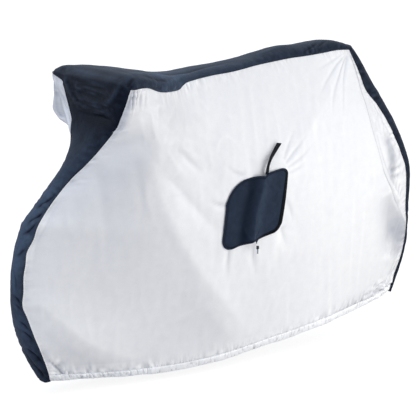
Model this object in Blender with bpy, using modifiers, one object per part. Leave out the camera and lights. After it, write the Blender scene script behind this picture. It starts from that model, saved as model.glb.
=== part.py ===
# Fitted bicycle cover, in the shape it takes over a parked bicycle.
#
# Two silver side panels are sewn to one navy centre band, which runs from the front hem up over the
# front wheel, across the handlebars, along the top to the saddle and down over the rear wheel. The
# bottom is open. A navy pouch with a dark binding, a webbing loop and a zip pull sits on the near side.
#
# Tables give X from the middle of the bicycle and Z above the ground. X runs from the front wheel
# (negative) to the rear wheel (positive), the near side with the pouch faces -Y, and Z is up.
# The finished parts are moved so that the origin lies where the saddle bears on the cover's top.

import bmesh
import bpy
import numpy as np

# ---- driving dimensions, metres -------------------------------------------------------------------
SADDLE_X = 0.400            # where the saddle carries the cover, from the middle of the bicycle
SADDLE_HEIGHT = 1.1385      # height of that point above the ground
PANEL_CLOTH = 0.0016        # thickness of a side panel
BAND_CLOTH = 0.0016         # thickness of the centre band
SEAM_SETBACK = 0.0015       # each cloth stops this far short of the seam line
PANEL_LENGTH = 1.5          # nominal, turns the set-back into a share of the panel's length
PANEL_HEIGHT = 1.0          # nominal, the same for its height

SEAM_FADE = 0.02            # share of the panel in which folds die out towards a seam
RESIDUE_POWER = 7           # how fast the seams' own waviness dies out inside the panel

GRIP_REACH = 0.288          # the panel hangs plumb off the grips, this far from the middle plane,
GRIP_LOW = 0.842            # from this height above the ground,
GRIP_FULL = 0.935           # fully from this height up,
GRIP_FORWARD = 0.40         # and moves forward by this share of what it moves out
GRIP_START = 0.008          # share of the panel over which that starts at the front seam
GRIP_TOP = 0.02             # and at the top seam
GRIP_END = 0.10             # and over which it dies out along the panel
GRIP_SHARE = {"near": 0.35, "far": 1.0}     # the near side is pulled tighter than the far one
GRIP_COLUMNS = (0.006, 0.014)   # extra stations close to the grip, along the panel
GRIP_ROWS = (0.976, 0.990)      # and up it

HEM_PUFF = 0.006            # the elastic hem draws in: how far the cloth stands out above it,
HEM_PUFF_HEIGHT = 0.030     # and how high above it

BAND_STRIPS = 8             # faces across the centre band
PANEL_COLUMNS = 34          # faces along a side panel
PANEL_ROWS = 24             # faces up a side panel

POUCH_CLOTH = 0.0022        # thickness of the pouch
POUCH_OFFSET = 0.0042       # its middle surface above the panel's
POUCH_CORNER = 0.26         # corner radius, as a share of half its width
POUCH_RIDGE = 0.014         # how far its middle fold stands out beyond the panel's own
POUCH_RIDGE_WIDTH = 0.20    # half width of that fold, as a share of half the pouch
POUCH_STEPS = 14            # faces across the pouch, and up it
BINDING_CLOTH = 0.0030
BINDING_GAP = 0.0006        # between the pouch's edge and its binding
BINDING_WIDTH = 0.007       # at the front and the top
ZIP_WIDTH = 0.009           # added where the zip runs, at the rear and the lower rear corner

LOOP_CLOTH = 0.0022         # webbing
LOOP_WIDTH = 0.019
LOOP_STEPS = 12
SLIDER_SIZE = (0.009, 0.005, 0.012)
PULL_SIZE = (0.006, 0.0016, 0.016)
PULL_GAP = 0.0006

# ---- the cover's tables ---------------------------------------------------------------------------
# The seams between the band and the side panels, the same on both sides, with the band's middle line.
# A row for each section: the seam point (x, half_width, z), the band's crown above it (crown_x,
# crown_z), and how square the arch between them is (2 is round, 4 nearly a box).
X, HALF_WIDTH, Z, CROWN_X, CROWN_Z, SQUARENESS = range(6)

FRONT_SEAM = np.array([     # from the front hem corner up over the wheel to the grip
    (-0.742, 0.044, 0.055, -0.754, 0.046, 2.0),
    (-0.762, 0.068, 0.100, -0.779, 0.096, 2.0),
    (-0.786, 0.076, 0.165, -0.805, 0.160, 2.0),
    (-0.806, 0.066, 0.225, -0.827, 0.222, 2.0),
    (-0.824, 0.047, 0.290, -0.842, 0.288, 2.0),
    (-0.833, 0.035, 0.360, -0.847, 0.360, 2.0),
    (-0.829, 0.035, 0.430, -0.843, 0.432, 2.0),
    (-0.815, 0.036, 0.500, -0.829, 0.504, 2.0),
    (-0.784, 0.046, 0.570, -0.800, 0.578, 2.0),
    (-0.738, 0.037, 0.630, -0.753, 0.640, 2.0),
    (-0.697, 0.037, 0.678, -0.711, 0.690, 2.0),
    (-0.648, 0.043, 0.730, -0.663, 0.743, 2.0),
    (-0.604, 0.068, 0.778, -0.621, 0.791, 2.0),
    (-0.567, 0.104, 0.834, -0.584, 0.845, 2.2),
    (-0.548, 0.154, 0.890, -0.569, 0.900, 2.4),
    (-0.543, 0.200, 0.946, -0.567, 0.955, 2.6),
    (-0.541, 0.234, 1.000, -0.569, 1.010, 3.0),
    (-0.540, 0.260, 1.036, -0.566, 1.050, 3.4),
])
TOP_SEAM = np.array([       # from the grip, back along the top to the saddle's rear corner
    (-0.540, 0.260, 1.036, -0.566, 1.050, 3.4),
    (-0.526, 0.264, 1.036, -0.535, 1.072, 3.6),
    (-0.503, 0.252, 1.037, -0.500, 1.080, 3.6),
    (-0.463, 0.230, 1.035, -0.450, 1.078, 3.4),
    (-0.400, 0.200, 1.016, -0.385, 1.069, 3.0),
    (-0.323, 0.160, 1.007, -0.310, 1.057, 2.6),
    (-0.267, 0.125, 1.022, -0.258, 1.054, 2.3),
    (-0.212, 0.105, 1.037, -0.205, 1.056, 2.1),
    (-0.145, 0.095, 1.046, -0.140, 1.066, 2.1),
    (-0.040, 0.086, 1.056, -0.035, 1.077, 2.1),
    (0.066, 0.080, 1.073, 0.070, 1.094, 2.1),
    (0.136, 0.078, 1.082, 0.140, 1.111, 2.1),
    (0.205, 0.077, 1.090, 0.210, 1.125, 2.2),
    (0.277, 0.076, 1.095, 0.285, 1.128, 2.2),
    (0.350, 0.074, 1.102, 0.360, 1.137, 2.3),
    (0.427, 0.066, 1.109, 0.435, 1.139, 2.4),
    (0.492, 0.054, 1.107, 0.520, 1.119, 2.4),
])
REAR_SEAM = np.array([      # from the rear hem corner up over the wheel to the saddle's rear corner
    (0.730, 0.045, 0.145, 0.770, 0.125, 2.0),
    (0.750, 0.045, 0.205, 0.802, 0.190, 2.0),
    (0.775, 0.045, 0.265, 0.823, 0.255, 2.0),
    (0.791, 0.045, 0.330, 0.834, 0.326, 2.0),
    (0.798, 0.045, 0.400, 0.841, 0.400, 2.0),
    (0.794, 0.045, 0.480, 0.844, 0.480, 2.0),
    (0.801, 0.045, 0.560, 0.848, 0.560, 2.0),
    (0.795, 0.045, 0.635, 0.844, 0.640, 2.0),
    (0.778, 0.045, 0.695, 0.827, 0.702, 2.0),
    (0.742, 0.046, 0.755, 0.792, 0.765, 2.0),
    (0.700, 0.047, 0.818, 0.749, 0.830, 2.0),
    (0.650, 0.048, 0.880, 0.699, 0.895, 2.0),
    (0.594, 0.050, 0.944, 0.645, 0.960, 2.0),
    (0.548, 0.053, 1.005, 0.604, 1.020, 2.1),
    (0.520, 0.054, 1.060, 0.562, 1.076, 2.2),
    (0.492, 0.054, 1.107, 0.520, 1.119, 2.4),
])

# The hem, from the front corner to the rear one: x, how far it stands out from the middle, z.
HEM = np.array([
    (-0.742, 0.044, 0.055),
    (-0.680, 0.048, 0.050),
    (-0.570, 0.063, 0.040),
    (-0.490, 0.081, 0.034),
    (-0.403, 0.097, 0.031),
    (-0.316, 0.111, 0.030),
    (-0.225, 0.120, 0.031),
    (-0.126, 0.122, 0.035),
    (-0.016, 0.117, 0.042),
    (0.092, 0.110, 0.052),
    (0.203, 0.108, 0.064),
    (0.277, 0.110, 0.075),
    (0.368, 0.106, 0.087),
    (0.462, 0.092, 0.100),
    (0.612, 0.064, 0.119),
    (0.688, 0.053, 0.134),
    (0.730, 0.045, 0.145),
])

# How far a side panel stands out from the bicycle's middle plane. A row for each of nine sections,
# evenly spaced from the front seam to the rear seam; columns from the hem to the top seam.
BELLY = np.array([
    # hem    low    middle high   top
    (0.044, 0.042, 0.044, 0.088, 0.260),
    (0.066, 0.084, 0.118, 0.215, 0.212),
    (0.103, 0.124, 0.183, 0.185, 0.148),
    (0.121, 0.155, 0.184, 0.150, 0.100),
    (0.116, 0.152, 0.164, 0.131, 0.086),
    (0.109, 0.138, 0.146, 0.118, 0.079),
    (0.106, 0.122, 0.128, 0.107, 0.077),
    (0.080, 0.105, 0.108, 0.098, 0.074),
    (0.045, 0.045, 0.046, 0.048, 0.054),
])

# Folds: which side, start (x, z), end (x, z), half width, and height: a ridge stands out, a trough
# is negative.
FOLDS = (
    ("near", "pouch ridge", 0.045, 0.860, -0.045, 0.300, 0.050, 0.018),
    ("both", "trough below the grip", -0.420, 0.820, -0.130, 0.470, 0.030, -0.006),
    ("both", "ridge beside the trough", -0.440, 0.700, -0.120, 0.400, 0.045, 0.005),
    ("both", "slack over the front wheel", -0.860, 0.400, -0.620, 0.120, 0.050, -0.008),
    ("both", "hanging fold, front", -0.600, 0.740, -0.620, 0.340, 0.035, -0.005),
    ("both", "hanging fold, second", -0.490, 0.800, -0.500, 0.400, 0.035, -0.005),
    ("both", "hanging fold, third", -0.410, 0.620, -0.360, 0.250, 0.035, -0.005),
    ("both", "saddle tuck, front", 0.500, 1.120, 0.330, 0.900, 0.030, -0.005),
    ("both", "saddle tuck, rear", 0.500, 1.120, 0.400, 0.860, 0.030, -0.005),
    ("both", "crease below the saddle", 0.490, 1.140, 0.640, 0.640, 0.034, 0.012),
    ("both", "crease to the rear wheel", 0.590, 0.800, 0.790, 0.380, 0.034, 0.010),
    ("both", "slack behind the crease", 0.660, 0.780, 0.800, 0.620, 0.032, -0.008),
    ("both", "bulge behind the crease", 0.700, 0.600, 0.800, 0.560, 0.032, 0.008),
    ("near", "pull above the pouch", 0.130, 0.720, 0.300, 0.920, 0.034, -0.005),
    ("far", "long soft fold", -0.150, 0.800, 0.100, 0.250, 0.050, -0.008),
)

# The pouch's corners on the panel, (x, z).
POUCH_LOWER_FRONT = np.array((-0.134, 0.455))
POUCH_UPPER_FRONT = np.array((-0.097, 0.686))
POUCH_UPPER_REAR = np.array((0.142, 0.713))
POUCH_LOWER_REAR = np.array((0.113, 0.474))

# The webbing loop above the pouch: x, z, how far it stands off the panel, and its turn from edge-on
# (0) to flat (1).
LOOP = np.array([
    (0.032, 0.7140, 0.0135, 0.05),
    (0.045, 0.7280, 0.0140, 0.15),
    (0.064, 0.7460, 0.0120, 0.55),
    (0.088, 0.7690, 0.0085, 0.95),
    (0.112, 0.7920, 0.0075, 1.00),
])

# ---- smooth curves and surfaces -------------------------------------------------------------------


def chord_knots(rows, columns):
    """Give each row its share of the distance along the line through them, 0 to 1."""
    steps = np.linalg.norm(np.diff(rows[:, columns], axis=0), axis=1)
    travelled = np.concatenate(([0.0], np.cumsum(steps)))
    return travelled / travelled[-1]


def through(knots, rows, t):
    """Read a smooth curve through rows, which sit at knots, at the shares t."""
    slopes = np.gradient(rows, knots, axis=0)
    low = np.clip(np.searchsorted(knots, t, side="right") - 1, 0, len(knots) - 2)
    span = (knots[low + 1] - knots[low])[..., None]
    f = (t - knots[low])[..., None] / span
    rise = f * f * (3 - 2 * f)
    leave = f * (1 - f) ** 2 * span
    arrive = -f * f * (1 - f) * span
    return (1 - rise) * rows[low] + rise * rows[low + 1] + leave * slopes[low] + arrive * slopes[low + 1]


def seam_row(rows, t):
    return through(chord_knots(rows, [X, HALF_WIDTH, Z]), rows, t)


def seam_point(rows, t):
    return seam_row(rows, t)[..., :3]


def hem_point(t):
    return through(chord_knots(HEM, [0, 1, 2]), HEM, t)


def belly(u, v):
    """Read the belly table at u along the panel and v up it."""
    sections, heights = BELLY.shape
    along = through(np.linspace(0, 1, sections), np.eye(sections), u)
    up = through(np.linspace(0, 1, heights), np.eye(heights), v)
    return np.einsum("...i,...j,ij->...", along, up, BELLY)


def stretched(u, v):
    """Span the four edges of a side panel: front seam, rear seam, hem and top seam."""
    front = seam_point(FRONT_SEAM, v)
    rear = seam_point(REAR_SEAM, v)
    low = hem_point(u)
    top = seam_point(TOP_SEAM, u)
    u = u[..., None]
    v = v[..., None]
    corners = ((1 - u) * (1 - v) * HEM[0] + u * (1 - v) * HEM[-1]
               + (1 - u) * v * TOP_SEAM[0, :3] + u * v * TOP_SEAM[-1, :3])
    return (1 - u) * front + u * rear + (1 - v) * low + v * top - corners


def edge_residue(u, v):
    """What the belly table misses at the four edges, dying out inside the panel."""
    none = np.zeros_like(u)
    full = np.ones_like(u)
    front = seam_point(FRONT_SEAM, v)[..., 1] - belly(none, v)
    rear = seam_point(REAR_SEAM, v)[..., 1] - belly(full, v)
    low = hem_point(u)[..., 1] - belly(u, none)
    top = seam_point(TOP_SEAM, u)[..., 1] - belly(u, full)
    return ((1 - u) ** RESIDUE_POWER * front + u ** RESIDUE_POWER * rear
            + (1 - v) ** RESIDUE_POWER * low + v ** RESIDUE_POWER * top)


def fold_height(x, z, side):
    """Add up the folds of one side at the points (x, z)."""
    height = np.zeros_like(x)
    for on_side, _, start_x, start_z, end_x, end_z, half_width, rise in FOLDS:
        if on_side not in ("both", side):
            continue
        run_x = end_x - start_x
        run_z = end_z - start_z
        length = np.hypot(run_x, run_z)
        share = np.clip(((x - start_x) * run_x + (z - start_z) * run_z) / length ** 2, 0, 1)
        across = ((x - start_x) * run_z - (z - start_z) * run_x) / length
        height += rise * np.sin(np.pi * share) ** 0.8 * np.exp(-(across / half_width) ** 2)
    return height


def side_surface(u, v, side):
    """A side panel's middle surface: x, distance out from the middle plane, z."""
    x, _, z = np.moveaxis(stretched(u, v), -1, 0)
    fade = ((1 - np.exp(-u / SEAM_FADE)) * (1 - np.exp(-(1 - u) / SEAM_FADE))
            * (1 - np.exp(-(1 - v) / SEAM_FADE)))
    above_hem = v * PANEL_HEIGHT / HEM_PUFF_HEIGHT
    puff = HEM_PUFF * above_hem * np.exp(1 - above_hem)
    out = belly(u, v) + edge_residue(u, v) + fade * (fold_height(x, z, side) + puff)
    grip = np.clip((z - GRIP_LOW) / (GRIP_FULL - GRIP_LOW), 0, 1)
    grip = grip * grip * (3 - 2 * grip)
    grip *= 1 - np.exp(-u / GRIP_START)
    grip *= 1 - np.exp(-(1 - v) / GRIP_TOP)
    grip *= np.exp(-(u / GRIP_END) ** 2)
    hang = GRIP_SHARE[side] * grip * np.maximum(GRIP_REACH - out, 0)
    return np.stack([x - GRIP_FORWARD * hang, out + hang, z], -1)


def find_on_panel(x, z, side):
    """Find u and v of the panel's points that have these x and z."""
    u = np.full_like(x, 0.5)
    v = np.full_like(x, 0.5)
    step = 1e-4
    for _ in range(12):
        here = side_surface(u, v, side)
        along = (side_surface(u + step, v, side) - here) / step
        up = (side_surface(u, v + step, side) - here) / step
        miss_x = x - here[..., 0]
        miss_z = z - here[..., 2]
        area = along[..., 0] * up[..., 2] - up[..., 0] * along[..., 2]
        u = u + (miss_x * up[..., 2] - miss_z * up[..., 0]) / area
        v = v + (miss_z * along[..., 0] - miss_x * along[..., 2]) / area
    return u, v


def above_panel(x, z, offset):
    """Points at a distance off the near panel, over its points (x, z), in the part's own axes."""
    u, v = find_on_panel(x, z, "near")
    step = 1e-3
    here = side_surface(u, v, "near")
    along = side_surface(u + step, v, "near") - here
    up = side_surface(u, v + step, "near") - here
    normal = np.cross(up, along)
    normal /= np.linalg.norm(normal, axis=-1, keepdims=True)
    return to_near(here + np.asarray(offset)[..., None] * normal)


def to_near(points):
    return points * np.array((1.0, -1.0, 1.0))


def band_section(row, edge_angle_share):
    """The centre band's points on one section, from the near edge (-1) to the far edge (1)."""
    rise = np.hypot(row[..., CROWN_X] - row[..., X], row[..., CROWN_Z] - row[..., Z])
    power = 2 / row[..., SQUARENESS]
    edge_angle = np.arccos((SEAM_SETBACK / rise) ** (1 / power))
    angle = edge_angle * edge_angle_share
    lift = np.abs(np.cos(angle)) ** power
    across = np.sign(angle) * np.abs(np.sin(angle)) ** power
    return np.stack([
        row[..., X] + (row[..., CROWN_X] - row[..., X]) * lift,
        row[..., HALF_WIDTH] * across,
        row[..., Z] + (row[..., CROWN_Z] - row[..., Z]) * lift,
    ], -1)


# ---- making Blender objects -----------------------------------------------------------------------


def clear_scene():
    for thing in list(bpy.data.objects):
        bpy.data.objects.remove(thing, do_unlink=True)


def make_material(name, colour, roughness, metallic=0.0):
    material = bpy.data.materials.new(name)
    material.use_nodes = True
    shader = material.node_tree.nodes["Principled BSDF"]
    shader.inputs["Base Color"].default_value = (*colour, 1.0)
    shader.inputs["Roughness"].default_value = roughness
    shader.inputs["Metallic"].default_value = metallic
    return material


def to_frame(points):
    """Move points from the tables' place to the cover's own frame."""
    return points - np.array((SADDLE_X, 0.0, SADDLE_HEIGHT))


def add_object(name, mesh, material, collection):
    mesh.materials.append(material)
    thing = bpy.data.objects.new(name, mesh)
    collection.objects.link(thing)
    return thing


def sheet(name, points, thickness, material, collection, closed=False, turned=False):
    """A cloth piece: a grid of points, given its thickness equally to both sides."""
    rows, columns, _ = points.shape
    index = np.arange(rows * columns).reshape(rows, columns)
    if closed:
        index = np.vstack([index, index[:1]])
    corners = (index[:-1, :-1], index[1:, :-1], index[1:, 1:], index[:-1, 1:])
    faces = np.stack(corners, -1).reshape(-1, 4)
    if turned:
        faces = faces[:, ::-1]
    mesh = bpy.data.meshes.new(name)
    mesh.from_pydata(to_frame(points).reshape(-1, 3).tolist(), [], faces.tolist())
    mesh.shade_smooth()
    thing = add_object(name, mesh, material, collection)
    wall = thing.modifiers.new("cloth", "SOLIDIFY")
    wall.thickness = thickness
    wall.offset = 0.0
    return thing


def stations():
    """Shares along and up the panels; closer together around the pouch and at the grip."""
    u = np.linspace(0, 1, PANEL_COLUMNS + 1)
    v = np.linspace(0, 1, PANEL_ROWS + 1)
    u = u - 0.030 * np.sin(2 * np.pi * (u - 0.04))
    u = (u - u[0]) / (u[-1] - u[0])
    v = v - 0.012 * np.sin(2 * np.pi * (v - 0.05))
    v = (v - v[0]) / (v[-1] - v[0])
    return np.sort(np.append(u, GRIP_COLUMNS)), np.sort(np.append(v, GRIP_ROWS))


def side_panel(name, side, material, collection):
    u, v = stations()
    edge_u = SEAM_SETBACK / PANEL_LENGTH
    edge_v = SEAM_SETBACK / PANEL_HEIGHT
    u = np.clip(u, edge_u, 1 - edge_u)
    v = np.clip(v, 0, 1 - edge_v)
    points = side_surface(*np.meshgrid(u, v, indexing="ij"), side)
    if side == "near":
        points = to_near(points)
    return sheet(name, points, PANEL_CLOTH, material, collection, turned=side == "near")


def centre_band(material, collection):
    u, v = stations()
    rows = np.concatenate([
        seam_row(FRONT_SEAM, v),
        seam_row(TOP_SEAM, u)[1:],
        seam_row(REAR_SEAM, v)[::-1][1:],
    ])
    across = np.linspace(-1, 1, BAND_STRIPS + 1)
    points = band_section(rows[:, None, :], across[None, :])
    return sheet("centre_band", points, BAND_CLOTH, material, collection)


def pouch_place(across, up):
    """Turn the pouch's own coordinates, -1 to 1 across and up, into x and z on the panel."""
    s = (across[..., None] + 1) / 2
    t = (up[..., None] + 1) / 2
    low = POUCH_LOWER_FRONT * (1 - s) + POUCH_LOWER_REAR * s
    high = POUCH_UPPER_FRONT * (1 - s) + POUCH_UPPER_REAR * s
    place = low * (1 - t) + high * t
    return place[..., 0], place[..., 1]


def pouch_height(across):
    return POUCH_OFFSET + POUCH_RIDGE * np.exp(-(across / POUCH_RIDGE_WIDTH) ** 2)


def round_corners(square):
    """Turn points of a square, -1 to 1, into a square with round corners, and the way out there."""
    size = np.max(np.abs(square), axis=-1, keepdims=True)
    flat = 1 - POUCH_CORNER
    on_edge = square / np.maximum(size, 1e-9) * (1 - POUCH_CORNER / 2)
    centre = np.clip(on_edge, -flat, flat)
    away = on_edge - centre
    away /= np.maximum(np.linalg.norm(away, axis=-1, keepdims=True), 1e-9)
    return (centre + away * POUCH_CORNER) * size, away


def pouch(material, collection):
    """The pouch's cloth: a square with round corners, folded outwards along its middle."""
    share = np.linspace(-1, 1, POUCH_STEPS + 1)
    place, _ = round_corners(np.stack(np.meshgrid(share, share, indexing="ij"), -1))
    x, z = pouch_place(place[..., 0], place[..., 1])
    points = above_panel(x, z, pouch_height(place[..., 0]))
    return sheet("pouch", points, POUCH_CLOTH, material, collection, turned=True)


def binding(material, collection):
    """The dark edge round the pouch, wider where the zip runs down its rear edge."""
    share = np.linspace(-1, 1, POUCH_STEPS + 1)[:-1]
    side = np.ones_like(share)
    edge, away = round_corners(np.concatenate([
        np.stack([share, -side], -1),
        np.stack([side, share], -1),
        np.stack([-share, side], -1),
        np.stack([-side, -share], -1),
    ]))
    half_size = np.linalg.norm(POUCH_UPPER_REAR - POUCH_UPPER_FRONT) / 2
    zip_share = np.clip(away[:, 0], 0, 1) ** 2 * np.clip((1.2 - edge[:, 1]) / 1.6, 0, 1)
    width = BINDING_WIDTH + ZIP_WIDTH * zip_share
    lines = []
    for share in (0.0, 0.5, 1.0):
        reach = (BINDING_GAP + width * share) / half_size
        ring = edge + away * reach[:, None]
        x, z = pouch_place(ring[:, 0], ring[:, 1])
        lines.append(above_panel(x, z, pouch_height(ring[:, 0])))
    return sheet("pouch_binding", np.stack(lines, 1), BINDING_CLOTH, material, collection, closed=True)


def webbing_loop(material, collection):
    """The flat webbing loop, which turns from edge-on at the pouch to lie flat at its end."""
    t = np.linspace(0, 1, LOOP_STEPS + 1)
    x, z, off, flat = np.moveaxis(through(chord_knots(LOOP, [0, 1]), LOOP, t), -1, 0)
    run = np.gradient(np.stack([x, z], -1), axis=0)
    run /= np.linalg.norm(run, axis=-1, keepdims=True)
    turn = np.clip(flat, 0, 1) * np.pi / 2
    half = LOOP_WIDTH / 2
    lines = []
    for share in (-1.0, 0.0, 1.0):
        in_plane = share * half * np.sin(turn)
        lines.append(above_panel(
            x + in_plane * run[:, 1],
            z - in_plane * run[:, 0],
            off + share * half * np.cos(turn),
        ))
    return sheet("webbing_loop", np.stack(lines, 1), LOOP_CLOTH, material, collection)


def small_block(name, centre, size, material, collection):
    """A small rounded block, for the zip's slider and pull."""
    mesh = bpy.data.meshes.new(name)
    shape = bmesh.new()
    bmesh.ops.create_cube(shape, size=1.0)
    bmesh.ops.scale(shape, vec=size, verts=shape.verts)
    bmesh.ops.translate(shape, vec=centre, verts=shape.verts)
    shape.to_mesh(mesh)
    shape.free()
    thing = add_object(name, mesh, material, collection)
    bevel = thing.modifiers.new("soft edges", "BEVEL")
    bevel.width = min(size) * 0.25
    bevel.segments = 2
    return thing


def zip_slider(slider_material, pull_material, collection):
    """The slider under the pouch's lower edge and the pull that hangs from it."""
    edge_x, edge_z = pouch_place(np.array([0.0]), np.array([-1.0]))
    below = BINDING_GAP + BINDING_WIDTH + BINDING_GAP + SLIDER_SIZE[2] / 2
    place = above_panel(edge_x, edge_z - below, np.array([pouch_height(0.0)]))
    slider_at = to_frame(place)[0]
    drop = SLIDER_SIZE[2] / 2 + PULL_GAP + PULL_SIZE[2] / 2
    pull_at = slider_at - np.array((0.0, 0.0, drop))
    small_block("zip_slider", slider_at.tolist(), SLIDER_SIZE, slider_material, collection)
    small_block("zip_pull", pull_at.tolist(), PULL_SIZE, pull_material, collection)


def main():
    clear_scene()
    collection = bpy.data.collections.new("bicycle_cover")
    bpy.context.scene.collection.children.link(collection)

    silver = make_material("silver_coated_cloth", (0.66, 0.68, 0.76), 0.42, 0.15)
    navy = make_material("navy_cloth", (0.026, 0.040, 0.068), 0.60)
    pouch_navy = make_material("pouch_cloth", (0.024, 0.036, 0.060), 0.65)
    black = make_material("black_webbing", (0.010, 0.011, 0.014), 0.70)
    metal = make_material("bright_metal", (0.55, 0.56, 0.58), 0.35, 1.0)

    side_panel("near_side", "near", silver, collection)
    side_panel("far_side", "far", silver, collection)
    centre_band(navy, collection)
    pouch(pouch_navy, collection)
    binding(black, collection)
    webbing_loop(black, collection)
    zip_slider(black, metal, collection)


main()
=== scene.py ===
import math

import bpy
import numpy as np
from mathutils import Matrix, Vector


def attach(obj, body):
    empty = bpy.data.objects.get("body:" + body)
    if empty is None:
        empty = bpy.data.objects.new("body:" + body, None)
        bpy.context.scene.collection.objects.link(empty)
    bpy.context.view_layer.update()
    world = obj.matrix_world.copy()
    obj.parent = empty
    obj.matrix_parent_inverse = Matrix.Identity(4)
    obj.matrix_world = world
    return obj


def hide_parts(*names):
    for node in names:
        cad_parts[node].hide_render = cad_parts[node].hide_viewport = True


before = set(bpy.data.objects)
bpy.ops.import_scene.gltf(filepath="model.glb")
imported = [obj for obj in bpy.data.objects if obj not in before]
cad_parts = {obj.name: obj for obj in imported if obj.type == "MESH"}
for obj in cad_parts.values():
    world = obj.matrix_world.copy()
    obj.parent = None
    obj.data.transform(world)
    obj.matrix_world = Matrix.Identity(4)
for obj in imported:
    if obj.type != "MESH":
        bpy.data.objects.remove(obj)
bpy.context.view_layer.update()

# A fitted bicycle cover: two silver side panels, a navy centre band, and a pouch on the near side.
# The tables give x from the bicycle's middle and z above the ground, in metres. toFrame() moves
# finished points into the part's own frame, whose origin is where the saddle carries the cover.

saddlePlace = np.array((0.400, 0.0, 1.1385))
outerAxis = np.array((1.0, -1.0, 1.0))     # turns (x, out, z) of the near side into x, y, z

latticeSize = 64                # cells before the noise repeats


def noise(x, y, seed):
    # value noise: random heights on a wrapped lattice, blended with the quintic 6t5 - 15t4 + 10t3
    table = np.random.default_rng(seed).uniform(-1, 1, (latticeSize, latticeSize))
    cellX = np.floor(x).astype(int)
    cellY = np.floor(y).astype(int)
    fx = x - cellX
    fy = y - cellY
    fx = fx ** 3 * (fx * (fx * 6 - 15) + 10)
    fy = fy ** 3 * (fy * (fy * 6 - 15) + 10)
    corners = [table[(cellX + i) % latticeSize, (cellY + j) % latticeSize]
               for i, j in ((0, 0), (1, 0), (0, 1), (1, 1))]
    low = corners[0] + (corners[1] - corners[0]) * fx
    high = corners[2] + (corners[3] - corners[2]) * fx
    return low + (high - low) * fy


def creased(x, y, seed, finer=2.1, finerShare=0.35):
    # sharp ridges between soft hollows: 1 minus twice the absolute value of the noise
    return 1 - 2 * np.abs(noise(x, y, seed) + finerShare * noise(finer * x, finer * y, seed + 1))


def chordShares(rows, columns):
    # each row's share of the distance along the line through all rows
    steps = np.linalg.norm(np.diff(rows[:, columns], axis=0), axis=1)
    travelled = np.concatenate(([0.0], np.cumsum(steps)))
    return travelled / travelled[-1]


def fadeAtEnds(share, reach):
    # 1 inside, and 0 at both ends of the share, as 1 - exp(-distance / reach)
    return (1 - np.exp(-share / reach)) * (1 - np.exp(-(1 - share) / reach))


def through(shares, rows, t):
    # cubic Hermite curve through the rows, with slopes from their neighbours
    slopes = np.gradient(rows, shares, axis=0)
    low = np.clip(np.searchsorted(shares, t, side="right") - 1, 0, len(shares) - 2)
    span = (shares[low + 1] - shares[low])[..., None]
    f = (t - shares[low])[..., None] / span
    rise = f * f * (3 - 2 * f)
    leave = f * (1 - f) ** 2 * span
    arrive = -f * f * (1 - f) * span
    return (1 - rise) * rows[low] + rise * rows[low + 1] + leave * slopes[low] + arrive * slopes[low + 1]


def unit(vectors):
    # vectors of length 1; the tiny floor keeps a vector of no length from dividing by zero
    return vectors / np.maximum(np.linalg.norm(vectors, axis=-1, keepdims=True), 1e-12)


def spread(*stretches):
    # stations from 0 to 1 in stretches of (end, count): evenly spaced inside each stretch
    stations = [0.0]
    for end, count in stretches:
        stations.extend(np.linspace(stations[-1], end, count + 1)[1:])
    return np.array(stations)


foldTaper = 2.4                 # how fast a fold rises and dies out along its route
routeSteps = 6                  # short straight runs between two points of a route
gatherForm = {
    "wander": 1.2,              # how far the tucks' spacing wanders, in pitches,
    "wanderLength": 4,          # and over how many
    "runOut": 3.5,              # how slowly a tuck changes away from the seam, in reaches
    "roundness": 0.8,           # below 1 gives round hills with sharp valleys
}


crumpleForm = {
    "windowPower": 1.5,         # how sharply a crumpled place ends
    "apart": (7.3, 3.1),        # steps in the noise from one place to the next, along and across
    "firstSeed": 40,
}


def routeFolds(a, b, folds):
    # each fold runs along a route of points. Across it the height is exp(-|distance / width| ^ power),
    # with its own width on either side; along it the height rises to full at the share peak p and falls
    # off again, as s^p (1 - s)^(1 - p) to a power
    height = np.zeros_like(a)
    for _, route, leftWidth, rightWidth, rise, power, peak in folds:
        route = np.array(route, float)
        steps = np.linspace(0, 1, 1 + routeSteps * (len(route) - 1))
        rounded = through(chordShares(route, [0, 1]), route, steps)
        runs = np.diff(rounded, axis=0)
        lengths = np.linalg.norm(runs, axis=1)
        before = np.concatenate(([0.0], np.cumsum(lengths)))
        nearest = np.full_like(a, np.inf)
        across = np.zeros_like(a)
        s = np.zeros_like(a)
        for (startA, startB), (runA, runB), length, done in zip(rounded, runs, lengths, before):
            awayA = a - startA
            awayB = b - startB
            share = np.clip((awayA * runA + awayB * runB) / length ** 2, 0, 1)
            distance = np.hypot(awayA - share * runA, awayB - share * runB)
            closer = distance < nearest
            nearest = np.where(closer, distance, nearest)
            side = np.sign(awayA * runB - awayB * runA)
            across = np.where(closer, side * distance, across)
            s = np.where(closer, (done + share * length) / before[-1], s)
        width = np.where(across < 0, leftWidth, rightWidth)
        along = (np.maximum(s, 1e-6) / peak) ** peak * (np.maximum(1 - s, 1e-6) / (1 - peak)) ** (1 - peak)
        height += rise * along ** foldTaper * np.exp(-np.abs(across / width) ** power)
    return height


def patches(a, b, rows):
    # crumpled places: creased noise inside a soft oval window, stretched along its own direction
    # and read from its own place in the noise
    form = crumpleForm
    stepAlong, stepAcross = form["apart"]
    height = np.zeros_like(a)
    for place, (_, a0, b0, radiusA, radiusB, angle, size, longer, rise) in enumerate(rows):
        turn = math.radians(angle)
        window = np.exp(-(((a - a0) / radiusA) ** 2 + ((b - b0) / radiusB) ** 2) ** form["windowPower"])
        alongIt = (a * math.cos(turn) + b * math.sin(turn)) / (size * longer) + stepAlong * place
        acrossIt = (b * math.cos(turn) - a * math.sin(turn)) / size + stepAcross * place
        height += rise * window * creased(alongIt, acrossIt, form["firstSeed"] + 2 * place)
    return height


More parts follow.
